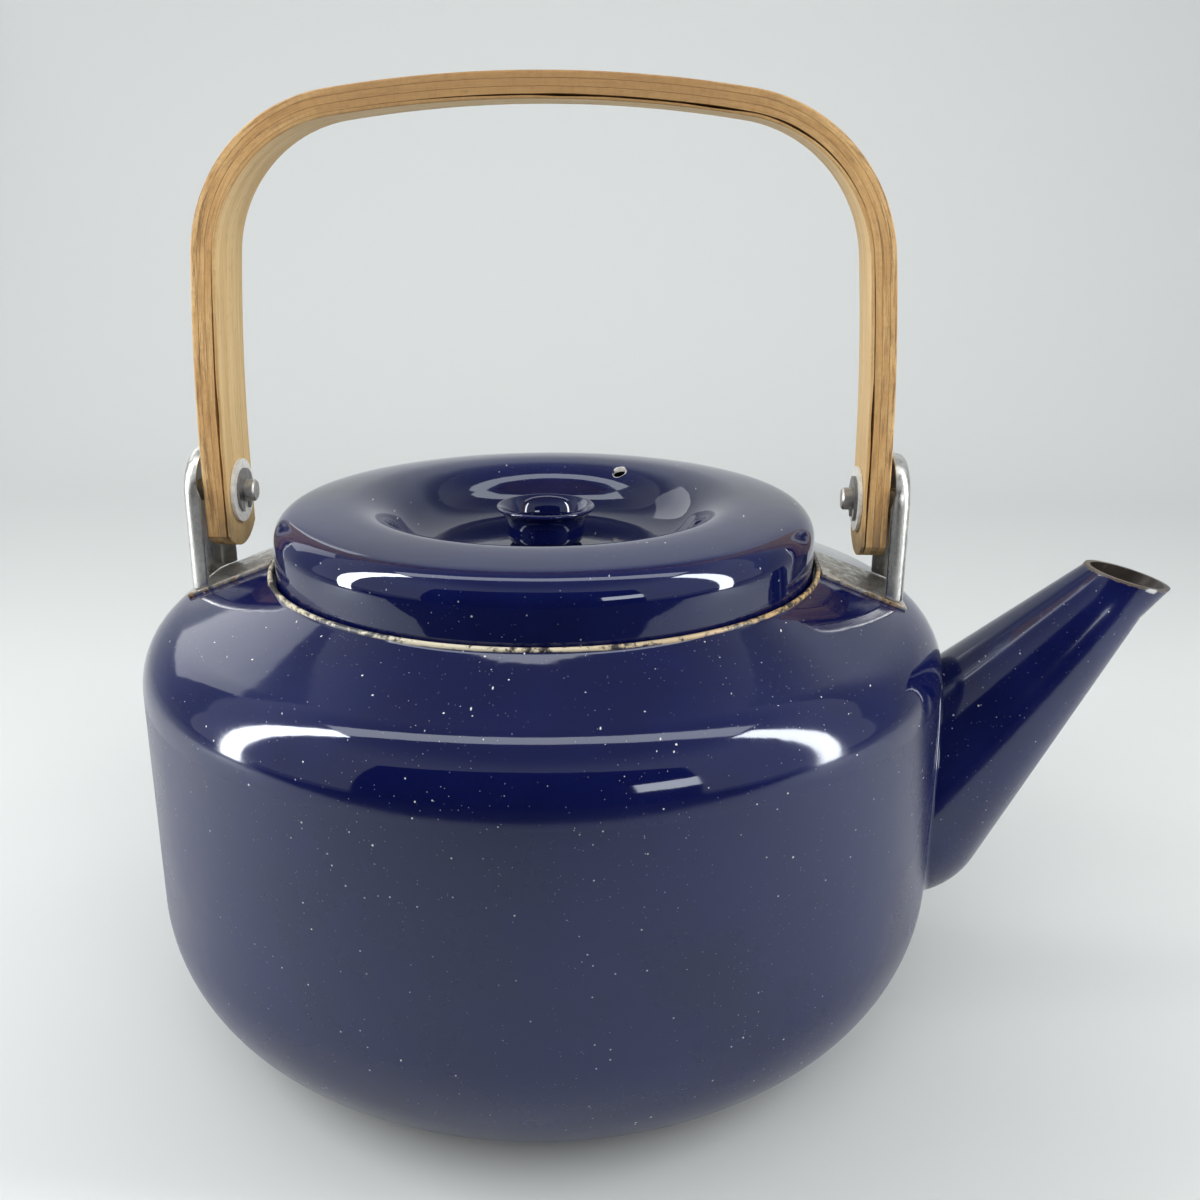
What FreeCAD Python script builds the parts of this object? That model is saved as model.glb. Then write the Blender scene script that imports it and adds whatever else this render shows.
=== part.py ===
import FreeCAD, Part
import os
import Sketcher
from math import hypot, sqrt

# A stove-top kettle of enamelled sheet steel with a bentwood bail.
# Millimetres and degrees. +Z is up, +X points along the spout, and the origin is the centre of the base.

SIZES = {
    # Pot, pressed from sheet in two halves
    "body_radius": 100.0,
    "wall": 1.2,
    "bottom_corner_radius": 39.0,
    "straight_wall": 54.3,
    "seam_drop": 1.3,
    "shoulder_bend": 16.0,
    "shoulder_slope": 20.8,
    "mouth_radius": 68.0,
    "lip_rise": 0.6,
    "ledge_depth": 5.5,
    "ledge_width": 6.0,
    "ledge_turn_down": 4.0,
    "weld_gap": 0.05,
    # Spout, a cone on a slanting axis that leaves the wall below the seam
    "spout_angle": 49.5,
    "spout_axis_drop": 31.1,
    "spout_root_radius": 23.3,
    "spout_taper_length": 65.25,
    "spout_tip_radius": 9.6,
    "spout_length": 70.8,
    "spout_mouth_tilt": 14.2,
    "spout_heel_start": 7.7,
    "spout_heel_radius": 23.0,
    "spout_heel_sweep": 60.0,
    # Lid
    "lid_side_gap": 0.7,
    "lid_skirt_height": 14.2,
    "lid_corner_radius": 7.0,
    "lid_crown_radius": 60.0,
    "lid_crown_tilt": 12.0,
    "dish_slope": 54.0,
    "dish_brow_radius": 15.0,
    "dish_floor_bend": 14.0,
    "vent_radius": 1.9,
    "vent_circle_radius": 42.1,
    "vent_direction": 66.0,
    # Knob on the floor of the dish
    "knob_waist_radius": 9.6,
    "knob_wall": 1.0,
    "knob_foot_bend": 2.4,
    "knob_flare_start": 4.25,
    "knob_flare_radius": 5.3,
    "knob_flare_sweep": 64.0,
    # Brackets, bent from bare sheet
    "ear_inset": 11.8,
    "ear_rise": 24.5,
    "ear_half_width": 10.6,
    "ear_sheet": 1.0,
    "ear_bend": 0.9,
    "flange_depth": 3.9,
    "flange_relief": 1.0,
    "flange_foot_gap": 1.4,
    "foot_overhang": 1.6,
    "foot_outer_half_width": 12.5,
    "foot_inner_half_width": 10.5,
    "foot_lip_gap": 0.6,
    # Bail, four layers of wood glued together
    "flange_gap": 0.3,
    "bail_width": 20.0,
    "ply_thickness": 1.65,
    "inner_ply_thickness": 0.9,
    "glue_line": 0.05,
    "bow_start": 6.7,
    "bow_radius": 600.0,
    "bow_lean": 4.95,
    "corner_radius": 40.0,
    "crown_radius": 310.0,
    "tip_radius": 14.0,
    # Pivots
    "stud_radius": 2.75,
    "stud_running_gap": 0.08,
    "stud_end": 3.3,
    "stud_chamfer": 0.4,
    "head_radius": 4.2,
    "head_height": 1.7,
    "side_play": 0.12,
    "washer_radius": 8.0,
    "washer_thickness": 0.8,
    "clip_radius": 5.6,
    "clip_thickness": 0.7,
    "clip_slot": 4.4,
    "groove_depth": 0.55,
}

NODES = []

doc = FreeCAD.newDocument("kettle")
sizes = doc.addObject("Spreadsheet::Sheet", "Sizes")
for row, (alias, value) in enumerate(SIZES.items(), start=1):
    sizes.set(f"A{row}", alias)
    sizes.set(f"B{row}", str(value))
    sizes.setAlias(f"B{row}", alias)
doc.recompute()


def number(expression):
    """Give what an expression comes to with the sizes as they are."""
    value = sizes.evalExpression(expression)
    return float(getattr(value, "Value", value))


def node(obj, label):
    """Name a finished sub-part and put it on the list of files to write."""
    obj.Label = label
    NODES.append(obj)
    return obj


def new_body(name):
    return doc.addObject("PartDesign::Body", name)


def new_sketch(body, name, plane, lift=None):
    """Start a sketch on one of a body's own planes, lifted along its normal if asked."""
    sketch = body.newObject("Sketcher::SketchObject", name)
    support = [feature for feature in body.Origin.OriginFeatures if feature.Role == plane][0]
    sketch.AttachmentSupport = [(support, "")]
    sketch.MapMode = "FlatFace"
    if lift:
        sketch.setExpression("AttachmentOffset.Base.z", lift)
    return sketch


def place_point(sketch, line, end, across, up):
    """Hold one end of a line at a place given by two expressions."""
    for kind, axis, expression in (("DistanceX", -2, across), ("DistanceY", -1, up)):
        if expression == "0":
            sketch.addConstraint(Sketcher.Constraint("PointOnObject", line, end, axis))
            continue
        index = sketch.addConstraint(Sketcher.Constraint(kind, line, end, number(expression)))
        sketch.setExpression(f"Constraints[{index}]", expression)


def bend_through(start, end, radius, turn):
    """Give the middle point of the short arc between two points. turn is 1 for anticlockwise."""
    run = hypot(end[0] - start[0], end[1] - start[1])
    bulge = radius - sqrt(radius ** 2 - run ** 2 / 4)
    side = (end[1] - start[1]) * turn, (start[0] - end[0]) * turn
    return [(start[i] + end[i]) / 2 + side[i] / run * bulge for i in (0, 1)]


def draw(sketch, corners):
    """Draw a closed outline. A corner is its place across and up, and may add the radius and the
    turn of an arc that leads on to the next corner."""
    places = [(number(corner[0]), number(corner[1])) for corner in corners]
    ends = []
    for index, corner in enumerate(corners):
        start = FreeCAD.Vector(*places[index], 0)
        end = FreeCAD.Vector(*places[(index + 1) % len(corners)], 0)
        if len(corner) == 2:
            line = sketch.addGeometry(Part.LineSegment(start, end))
        else:
            middle = FreeCAD.Vector(*bend_through(start, end, number(corner[2]), corner[3]), 0)
            line = sketch.addGeometry(Part.Arc(start, middle, end))
            radius = sketch.addConstraint(Sketcher.Constraint("Radius", line, number(corner[2])))
            sketch.setExpression(f"Constraints[{radius}]", corner[2])
        starts_first = (sketch.getPoint(line, 1) - start).Length < (sketch.getPoint(line, 2) - start).Length
        ends.append((line, 1, 2) if starts_first else (line, 2, 1))
    for index, (line, first, last) in enumerate(ends):
        place_point(sketch, line, first, corners[index][0], corners[index][1])
        following, start, _ = ends[(index + 1) % len(ends)]
        sketch.addConstraint(Sketcher.Constraint("Coincident", line, last, following, start))
    return sketch


def reversed_outline(corners):
    """Give the same outline walked the other way."""
    back = []
    for index in range(len(corners) - 1, -1, -1):
        arc = corners[index - 1][2:] if index > 0 else ()
        back.append(corners[index][:2] + ((arc[0], -arc[1]) if arc else ()))
    return back


def draw_circle(sketch, across, up, radius):
    """Draw a circle round a centre given by two expressions."""
    centre = FreeCAD.Vector(number(across), number(up), 0)
    circle = sketch.addGeometry(Part.Circle(centre, FreeCAD.Vector(0, 0, 1), number(radius)))
    place_point(sketch, circle, 3, across, up)
    size = sketch.addConstraint(Sketcher.Constraint("Radius", circle, number(radius)))
    sketch.setExpression(f"Constraints[{size}]", radius)
    return sketch


def revolve(body, name, corners):
    """Turn an outline of radius and height once round the body's upright axis."""
    sketch = draw(new_sketch(body, f"{name}_outline", "XZ_Plane"), corners)
    turned = body.newObject("PartDesign::Revolution", name)
    turned.Profile = sketch
    turned.ReferenceAxis = (sketch, ["V_Axis"])
    turned.Angle = 360
    doc.recompute()
    return turned


def pad(body, name, sketch, length, both_ways=False):
    block = body.newObject("PartDesign::Pad", name)
    block.Profile = sketch
    block.SideType = "Symmetric" if both_ways else "One side"
    block.setExpression("Length", length)
    doc.recompute()
    return block


def pocket(body, name, sketch, depth=None, forward=False):
    """Cut an outline away: to a depth, or right through both ways where none is given."""
    before = body.Shape.Volume
    cut = body.newObject("PartDesign::Pocket", name)
    cut.Profile = sketch
    if depth is None:
        cut.Type = "ThroughAll"
        cut.SideType = "Symmetric"
    else:
        cut.setExpression("Length", depth)
        cut.Reversed = forward
    doc.recompute()
    if body.Shape.Volume >= before:
        raise RuntimeError(f"{name} cuts nothing")
    return cut


def join(kind, name, base, tool):
    """Combine two objects with Part's Cut, Fuse or Common."""
    result = doc.addObject(f"Part::{kind}", name)
    result.Base = base
    result.Tool = tool
    doc.recompute()
    return result


# Places on the pot, worked out from its sizes
shoulder_z = "(Sizes.bottom_corner_radius + Sizes.straight_wall)"
seam_z = f"({shoulder_z} - Sizes.seam_drop)"
base_flat = "(Sizes.body_radius - Sizes.bottom_corner_radius)"
bend_centre_x = "(Sizes.body_radius - Sizes.shoulder_bend)"
slope = "Sizes.shoulder_slope"
lip_outer = "(Sizes.mouth_radius + Sizes.wall)"


def shoulder_at(radius, above="0"):
    """Give the height of the sloping breast at a radius, raised square to its face by a distance."""
    bend_end_x = f"({bend_centre_x} + Sizes.shoulder_bend * sin({slope}))"
    bend_end_z = f"({shoulder_z} + Sizes.shoulder_bend * cos({slope}))"
    return f"({bend_end_z} + ({bend_end_x} - {radius}) * tan({slope}) + ({above}) / cos({slope}))"


lip_z = f"({shoulder_at(lip_outer)} + Sizes.lip_rise)"
ledge_z = f"({shoulder_at(lip_outer)} - Sizes.ledge_depth)"
ledge_inner = "(Sizes.mouth_radius - Sizes.ledge_width)"


def bend_end(radius):
    """Give where an arc round the shoulder's bend runs into the breast."""
    return f"{bend_centre_x} + {radius} * sin({slope})", f"{shoulder_z} + {radius} * cos({slope})"


# Space that the outside of the pot fills, which trims what is welded on
space_corner = "Sizes.bottom_corner_radius + Sizes.weld_gap"
space_radius = "Sizes.body_radius + Sizes.weld_gap"
space_bend = "(Sizes.shoulder_bend + Sizes.weld_gap)"
pot_space = new_body("pot_space")
revolve(pot_space, "pot_space_solid", [
    ("0", "-Sizes.weld_gap"),
    (base_flat, "-Sizes.weld_gap", space_corner, 1),
    (space_radius, "Sizes.bottom_corner_radius"),
    (space_radius, shoulder_z, space_bend, 1),
    bend_end(space_bend),
    ("Sizes.mouth_radius", shoulder_at("Sizes.mouth_radius", "Sizes.weld_gap")),
    ("0", shoulder_at("Sizes.mouth_radius", "Sizes.weld_gap")),
])

# Spout: a drawn cone with a round heel, made on its own axis and then leaned over.
# Its own Z runs up the axis from the point where the axis leaves the pot's wall.
spout_lean = "(90 - Sizes.spout_angle)"
spout_z = f"({seam_z} - Sizes.spout_axis_drop)"
taper = "atan((Sizes.spout_root_radius - Sizes.spout_tip_radius) / Sizes.spout_taper_length)"
heel_top_radius = f"(Sizes.spout_root_radius + Sizes.spout_heel_start * tan({taper}))"
heel_centre_x = f"({heel_top_radius} - Sizes.spout_heel_radius * cos({taper}))"
heel_centre_z = f"(-Sizes.spout_heel_start - Sizes.spout_heel_radius * sin({taper}))"
heel_sweep = "Sizes.spout_heel_sweep"
spout_mouth_slant = f"({spout_lean} - Sizes.spout_mouth_tilt)"
# The cone is made overlong, and its slanting mouth is cut from that stock
spout_stock_top = "(Sizes.spout_length + 2 * Sizes.spout_tip_radius)"


def spout_side(inset):
    """Give the corners of the cone's side, from the heel to the top, inset square to its face."""
    heel = f"(Sizes.spout_heel_radius - {inset})"
    return [
        (f"{heel_centre_x} + {heel} * cos({heel_sweep})",
         f"{heel_centre_z} - {heel} * sin({heel_sweep})", heel, 1),
        (f"{heel_centre_x} + {heel} * cos({taper})", f"{heel_centre_z} + {heel} * sin({taper})"),
        (f"Sizes.spout_tip_radius - {inset}", f"Sizes.spout_taper_length - {inset} * tan({taper} / 2)"),
        (f"Sizes.spout_tip_radius - {inset}", spout_stock_top),
    ]


def lean_over(obj):
    """Stand a body that was made on the spout's axis at the spout's place."""
    obj.Placement.Rotation = FreeCAD.Rotation(FreeCAD.Vector(0, 1, 0), number(spout_lean))
    obj.setExpression("Placement.Rotation.Angle", spout_lean)
    obj.setExpression("Placement.Base.x", "Sizes.body_radius")
    obj.setExpression("Placement.Base.z", spout_z)


spout_inner_side = spout_side("Sizes.wall")
spout_cone = new_body("spout_cone")
revolve(spout_cone, "spout_wall", spout_side("0") + reversed_outline(spout_inner_side))
mouth_cut = new_sketch(spout_cone, "mouth_plane", "XZ_Plane")
cut_reach = "(3 * Sizes.spout_tip_radius)"
draw(mouth_cut, [
    (f"-{cut_reach}", f"Sizes.spout_length - {cut_reach} * tan({spout_mouth_slant})"),
    (cut_reach, f"Sizes.spout_length + {cut_reach} * tan({spout_mouth_slant})"),
    (cut_reach, f"{spout_stock_top} + {cut_reach}"),
    (f"-{cut_reach}", f"{spout_stock_top} + {cut_reach}"),
])
pocket(spout_cone, "mouth", mouth_cut)
lean_over(spout_cone)
node(join("Cut", "spout_trimmed", spout_cone, pot_space), "spout")

spout_bore = new_body("spout_bore")
revolve(spout_bore, "spout_bore_solid", spout_inner_side + [
    ("0", spout_inner_side[3][1]),
    ("0", spout_inner_side[0][1]),
])
lean_over(spout_bore)

# Pan: the lower half of the pot, with the hole that the spout is welded over
inner_radius = "Sizes.body_radius - Sizes.wall"
inner_corner = "Sizes.bottom_corner_radius - Sizes.wall"
pan_shell = new_body("pan_shell")
revolve(pan_shell, "pan_wall", [
    ("0", "0"),
    (base_flat, "0", "Sizes.bottom_corner_radius", 1),
    ("Sizes.body_radius", "Sizes.bottom_corner_radius"),
    ("Sizes.body_radius", seam_z),
    (inner_radius, seam_z),
    (inner_radius, "Sizes.bottom_corner_radius", inner_corner, -1),
    (base_flat, "Sizes.wall"),
    ("0", "Sizes.wall"),
])
node(join("Cut", "pan_with_hole", pan_shell, spout_bore), "body_pan")

# Shoulder ring: the upper half of the pot, turned up into a lip and in to a ledge for the lid
inner_bend = "(Sizes.shoulder_bend - Sizes.wall)"
half_wall = "Sizes.wall / 2"
shoulder_ring = new_body("shoulder_ring")
revolve(shoulder_ring, "shoulder_wall", [
    ("Sizes.body_radius", seam_z),
    ("Sizes.body_radius", shoulder_z, "Sizes.shoulder_bend", 1),
    bend_end("Sizes.shoulder_bend"),
    (lip_outer, shoulder_at(lip_outer)),
    (lip_outer, lip_z, half_wall, 1),
    (f"{lip_outer} - {half_wall}", f"{lip_z} + {half_wall}", half_wall, 1),
    ("Sizes.mouth_radius", lip_z),
    ("Sizes.mouth_radius", ledge_z),
    (ledge_inner, ledge_z),
    (ledge_inner, f"{ledge_z} - Sizes.ledge_turn_down"),
    (f"{ledge_inner} + Sizes.wall", f"{ledge_z} - Sizes.ledge_turn_down"),
    (f"{ledge_inner} + Sizes.wall", f"{ledge_z} - Sizes.wall"),
    (lip_outer, f"{ledge_z} - Sizes.wall"),
    (lip_outer, shoulder_at(lip_outer, "-Sizes.wall")),
    bend_end(inner_bend) + (inner_bend, -1),
    (inner_radius, shoulder_z),
    (inner_radius, seam_z),
])
node(shoulder_ring, "shoulder_ring")

# Lid: a pressed shell whose top rises to a crest and falls into a dish
lid_radius = "(Sizes.mouth_radius - Sizes.lid_side_gap)"
lid_corner_x = f"({lid_radius} - Sizes.lid_corner_radius)"
lid_corner_z = f"({ledge_z} + Sizes.lid_skirt_height)"
tilt = "Sizes.lid_crown_tilt"
crest_x = f"({lid_corner_x} - (Sizes.lid_crown_radius - Sizes.lid_corner_radius) * sin({tilt}))"
lid_crown_drop = f"((Sizes.lid_crown_radius - Sizes.lid_corner_radius) * cos({tilt}))"
crest_z = f"({lid_corner_z} - {lid_crown_drop} + Sizes.lid_crown_radius)"
dish = "Sizes.dish_slope"
dish_reach = "(Sizes.dish_brow_radius + Sizes.dish_floor_bend)"
floor_x = f"({crest_x} - {dish_reach} * sin({dish}))"
floor_z = f"({crest_z} - {dish_reach} * (1 - cos({dish})))"


def lid_face(inset):
    """Give the lid's section from the skirt's foot in to the axis, inset square to its face."""
    corner = f"(Sizes.lid_corner_radius - {inset})"
    crown = f"(Sizes.lid_crown_radius - {inset})"
    brow = f"(Sizes.dish_brow_radius - {inset})"
    bend = f"(Sizes.dish_floor_bend + {inset})"
    return [
        (f"{lid_radius} - {inset}", ledge_z),
        (f"{lid_radius} - {inset}", lid_corner_z, corner, 1),
        (f"{lid_corner_x} + {corner} * sin({tilt})", f"{lid_corner_z} + {corner} * cos({tilt})", crown, 1),
        (crest_x, f"{crest_z} - {inset}", brow, 1),
        (f"{crest_x} - {brow} * sin({dish})",
         f"{crest_z} - Sizes.dish_brow_radius + {brow} * cos({dish})", bend, -1),
        (floor_x, f"{floor_z} - {inset}"),
        ("0", f"{floor_z} - {inset}"),
    ]


lid_shell = new_body("lid_shell")
revolve(lid_shell, "lid_wall", lid_face("0") + reversed_outline(lid_face("Sizes.wall")))
vent = draw_circle(
    new_sketch(lid_shell, "vent_circle", "XY_Plane"),
    "Sizes.vent_circle_radius * cos(Sizes.vent_direction)",
    "Sizes.vent_circle_radius * sin(Sizes.vent_direction)",
    "Sizes.vent_radius",
)
pocket(lid_shell, "vent", vent)
node(lid_shell, "lid_shell")

# Knob: a small cup with a round foot, whose wall flares out into a lip
knob_bore = "(Sizes.knob_waist_radius - Sizes.knob_wall)"
foot_flat = "(Sizes.knob_waist_radius - Sizes.knob_foot_bend)"
foot_bend_z = f"({floor_z} + Sizes.knob_foot_bend)"
flare_z = f"({floor_z} + Sizes.knob_flare_start)"


def flare_end(radius):
    """Give where an arc round the flare's centre ends at the lip."""
    centre_x = "(Sizes.knob_waist_radius + Sizes.knob_flare_radius)"
    sweep = "Sizes.knob_flare_sweep"
    return f"{centre_x} - {radius} * cos({sweep})", f"{flare_z} + {radius} * sin({sweep})"


flare_inside = "(Sizes.knob_flare_radius + Sizes.knob_wall)"
lid_knob = new_body("lid_knob")
revolve(lid_knob, "knob_wall", [
    ("0", floor_z),
    (foot_flat, floor_z, "Sizes.knob_foot_bend", 1),
    ("Sizes.knob_waist_radius", foot_bend_z),
    ("Sizes.knob_waist_radius", flare_z, "Sizes.knob_flare_radius", -1),
    flare_end("Sizes.knob_flare_radius"),
    flare_end(flare_inside) + (flare_inside, 1),
    (knob_bore, flare_z),
    (knob_bore, foot_bend_z, "Sizes.knob_foot_bend - Sizes.knob_wall", -1),
    (foot_flat, f"{floor_z} + Sizes.knob_wall"),
    ("0", f"{floor_z} + Sizes.knob_wall"),
])
node(lid_knob, "lid_knob")

# Places of the ears and of the bail's pivot
ear_outer = "(Sizes.body_radius - Sizes.ear_inset)"
ear_inner = f"({ear_outer} - Sizes.flange_depth)"
pivot_z = f"({shoulder_at(ear_outer)} + Sizes.ear_rise)"
ear_top = f"({pivot_z} + Sizes.ear_half_width)"
bail_half_span = f"({ear_inner} - Sizes.flange_gap)"
thick_plies = ("outer", "third", "second")
ply_step = "(Sizes.ply_thickness + Sizes.glue_line)"
thin_ply_depth = f"({len(thick_plies)} * {ply_step})"
bail_thickness = f"({thin_ply_depth} + Sizes.inner_ply_thickness)"


def ear_outline(inset, bottom):
    """Give the ear's round-topped outline, across and up, inset on its sides and top."""
    half = f"(Sizes.ear_half_width - {inset})"
    return [
        (f"-{half}", bottom),
        (half, bottom),
        (half, pivot_z, half, 1),
        ("0", f"{pivot_z} + {half}", half, 1),
        (f"-{half}", pivot_z),
    ]


def box_outline(half_width, low, high):
    return [(f"-{half_width}", low), (half_width, low), (half_width, high), (f"-{half_width}", high)]


def half_turn(obj, degrees):
    """Turn a piece made for the right about the pot's axis, so that it serves on the left."""
    obj.Placement.Rotation = FreeCAD.Rotation(FreeCAD.Vector(0, 0, 1), degrees)


def lies_on_web(edge):
    """Tell whether an edge lies in the outer face of the right-hand ear."""
    return all(abs(corner.X - number(ear_outer)) < 1e-6 for corner in edge.Vertexes)


def bracket(side, degrees):
    """An ear, a shallow channel that is open towards the wood, on a plate that lies on the breast."""
    # The ear starts inside the pot, which trims it to the slope of the breast
    ear_foot = shoulder_at(ear_outer, "-2 * Sizes.ear_sheet")
    flange_foot = f"({shoulder_at(ear_inner, 'Sizes.ear_sheet')} + Sizes.flange_foot_gap)"
    spread = "(2 * Sizes.ear_half_width)"
    inside = "Sizes.flange_depth - Sizes.ear_sheet"
    ear = new_body(f"{side}_ear")
    face = new_sketch(ear, f"{side}_ear_outline", "YZ_Plane", ear_inner)
    block = pad(ear, f"{side}_ear_block", draw(face, ear_outline("0", ear_foot)), "Sizes.flange_depth")
    rim = [f"Edge{index}" for index, edge in enumerate(block.Shape.Edges, start=1)
           if lies_on_web(edge) and edge.CenterOfMass.z > number(ear_foot) + number("Sizes.ear_sheet")]
    bend = ear.newObject("PartDesign::Fillet", f"{side}_ear_bend")
    bend.Base = (block, rim)
    bend.setExpression("Radius", "Sizes.ear_bend")
    doc.recompute()
    hollow = new_sketch(ear, f"{side}_ear_hollow_outline", "YZ_Plane", ear_inner)
    draw(hollow, ear_outline("Sizes.ear_sheet", f"{ear_foot} - Sizes.ear_sheet"))
    pocket(ear, f"{side}_ear_hollow", hollow, inside, forward=True)
    relief = new_sketch(ear, f"{side}_relief_outline", "YZ_Plane", ear_inner)
    draw(relief, box_outline(spread, pivot_z, f"{ear_top} + Sizes.ear_sheet"))
    pocket(ear, f"{side}_relief", relief, "Sizes.flange_relief", forward=True)
    trim = new_sketch(ear, f"{side}_flange_foot_outline", "YZ_Plane", ear_inner)
    draw(trim, box_outline(spread, f"{ear_foot} - Sizes.ear_sheet", flange_foot))
    pocket(ear, f"{side}_flange_foot", trim, inside, forward=True)
    hole = new_sketch(ear, f"{side}_stud_hole_outline", "YZ_Plane")
    draw_circle(hole, "0", pivot_z, "Sizes.stud_radius + Sizes.weld_gap")
    pocket(ear, f"{side}_stud_hole", hole)
    half_turn(ear, degrees)
    ear_trimmed = join("Cut", f"{side}_ear_trimmed", ear, pot_space)

    foot_inner = f"({lip_outer} + Sizes.foot_lip_gap)"
    foot_outer = f"({ear_outer} + Sizes.foot_overhang)"
    foot_under = "Sizes.weld_gap"
    foot_over = "Sizes.weld_gap + Sizes.ear_sheet"
    ring = new_body(f"{side}_foot_ring")
    revolve(ring, f"{side}_foot_band", [
        (foot_inner, shoulder_at(foot_inner, foot_under)),
        (foot_outer, shoulder_at(foot_outer, foot_under)),
        (foot_outer, shoulder_at(foot_outer, foot_over)),
        (foot_inner, shoulder_at(foot_inner, foot_over)),
    ])
    prism = new_body(f"{side}_foot_prism")
    plan = new_sketch(prism, f"{side}_foot_plan", "XY_Plane")
    draw(plan, [
        (f"{foot_inner} - {spread}", "-Sizes.foot_inner_half_width"),
        (foot_inner, "-Sizes.foot_inner_half_width"),
        (f"{foot_outer} + Sizes.ear_sheet", "-Sizes.foot_outer_half_width"),
        (f"{foot_outer} + Sizes.ear_sheet", "Sizes.foot_outer_half_width"),
        (foot_inner, "Sizes.foot_inner_half_width"),
        (f"{foot_inner} - {spread}", "Sizes.foot_inner_half_width"),
    ])
    pad(prism, f"{side}_foot_block", plan, pivot_z)
    half_turn(prism, degrees)
    foot = join("Common", f"{side}_foot", ring, prism)
    node(join("Fuse", f"{side}_bracket_joined", ear_trimmed, foot), f"{side}_bracket")


# Pieces on the pivot: each is made round its own Z, which lies along the pivot and points outwards
wood_inner = f"({bail_half_span} - {bail_thickness})"
washer_outer = f"({wood_inner} - Sizes.side_play)"
washer_inner = f"({washer_outer} - Sizes.washer_thickness)"
clip_outer = f"({washer_inner} - Sizes.weld_gap)"
clip_inner = f"({clip_outer} - Sizes.clip_thickness)"
groove_radius = "(Sizes.stud_radius - Sizes.groove_depth)"


def lay_along_pivot(obj, degrees):
    """Lay a piece's own Z along the pivot, to the right or, turned half round, to the left.
    Its own X then points down."""
    outwards = FreeCAD.Rotation(FreeCAD.Vector(0, 1, 0), 90)
    obj.Placement.Rotation = FreeCAD.Rotation(FreeCAD.Vector(0, 0, 1), degrees).multiply(outwards)
    obj.setExpression("Placement.Base.z", pivot_z)


def pivot_stud(side, degrees):
    """A stud with a domed head outside the ear, a groove for the clip and a chamfered end."""
    stud_tip = f"({washer_inner} - Sizes.stud_end)"
    head_seat = f"{ear_outer} + Sizes.weld_gap"
    dome = "((Sizes.head_radius ^ 2 + Sizes.head_height ^ 2) / (2 * Sizes.head_height))"
    stud = new_body(f"{side}_stud")
    revolve(stud, f"{side}_stud_turning", [
        ("0", stud_tip),
        ("Sizes.stud_radius - Sizes.stud_chamfer", stud_tip),
        ("Sizes.stud_radius", f"{stud_tip} + Sizes.stud_chamfer"),
        ("Sizes.stud_radius", f"{clip_inner} - Sizes.weld_gap"),
        (groove_radius, f"{clip_inner} - Sizes.weld_gap"),
        (groove_radius, f"{clip_outer} + Sizes.weld_gap"),
        ("Sizes.stud_radius", f"{clip_outer} + Sizes.weld_gap"),
        ("Sizes.stud_radius", head_seat),
        ("Sizes.head_radius", head_seat, dome, 1),
        ("0", f"{head_seat} + Sizes.head_height"),
    ])
    lay_along_pivot(stud, degrees)
    node(stud, f"{side}_pivot_stud")


def washer(side, degrees):
    ring = new_body(f"{side}_washer_ring")
    face = new_sketch(ring, f"{side}_washer_outline", "XY_Plane", washer_inner)
    draw_circle(face, "0", "0", "Sizes.washer_radius")
    draw_circle(face, "0", "0", "Sizes.stud_radius + Sizes.stud_running_gap")
    pad(ring, f"{side}_washer_plate", face, "Sizes.washer_thickness")
    lay_along_pivot(ring, degrees)
    node(ring, f"{side}_washer")


def retaining_clip(side, degrees):
    """A flat spring clip, open downwards, that sits in the stud's groove."""
    plate = new_body(f"{side}_clip_plate")
    face = new_sketch(plate, f"{side}_clip_outline", "XY_Plane", clip_inner)
    draw_circle(face, "0", "0", "Sizes.clip_radius")
    draw_circle(face, "0", "0", f"{groove_radius} + Sizes.weld_gap")
    pad(plate, f"{side}_clip_disc", face, "Sizes.clip_thickness")
    slot = new_sketch(plate, f"{side}_clip_slot_outline", "XY_Plane")
    half_slot = "(Sizes.clip_slot / 2)"
    draw(slot, [
        ("0", f"-{half_slot}"),
        ("2 * Sizes.clip_radius", f"-{half_slot}"),
        ("2 * Sizes.clip_radius", half_slot),
        ("0", half_slot),
    ])
    pocket(plate, f"{side}_clip_slot", slot)
    lay_along_pivot(plate, degrees)
    node(plate, f"{side}_retaining_clip")


for side, degrees in (("right", 0), ("left", 180)):
    bracket(side, degrees)
    pivot_stud(side, degrees)
    washer(side, degrees)
    retaining_clip(side, degrees)

# Bail: four plies bent to one arch. Its outer face runs up from the pivot, bows in, turns a tangent
# corner and crosses in a flat crown, and each ply lies at its own depth inside that face.
bow_z = f"({pivot_z} + Sizes.bow_start)"
lean = "Sizes.bow_lean"
bow_centre_x = f"({bail_half_span} - Sizes.bow_radius)"
corner_from_bow = "(Sizes.bow_radius - Sizes.corner_radius)"
corner_x = f"({bow_centre_x} + {corner_from_bow} * cos({lean}))"
corner_z = f"({bow_z} + {corner_from_bow} * sin({lean}))"
corner_from_crown = "(Sizes.crown_radius - Sizes.corner_radius)"
crown_half_angle = f"asin({corner_x} / {corner_from_crown})"
crown_centre_z = f"({corner_z} - {corner_from_crown} * cos({crown_half_angle}))"
bail_end_z = f"({pivot_z} - Sizes.tip_radius - Sizes.ply_thickness)"


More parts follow.
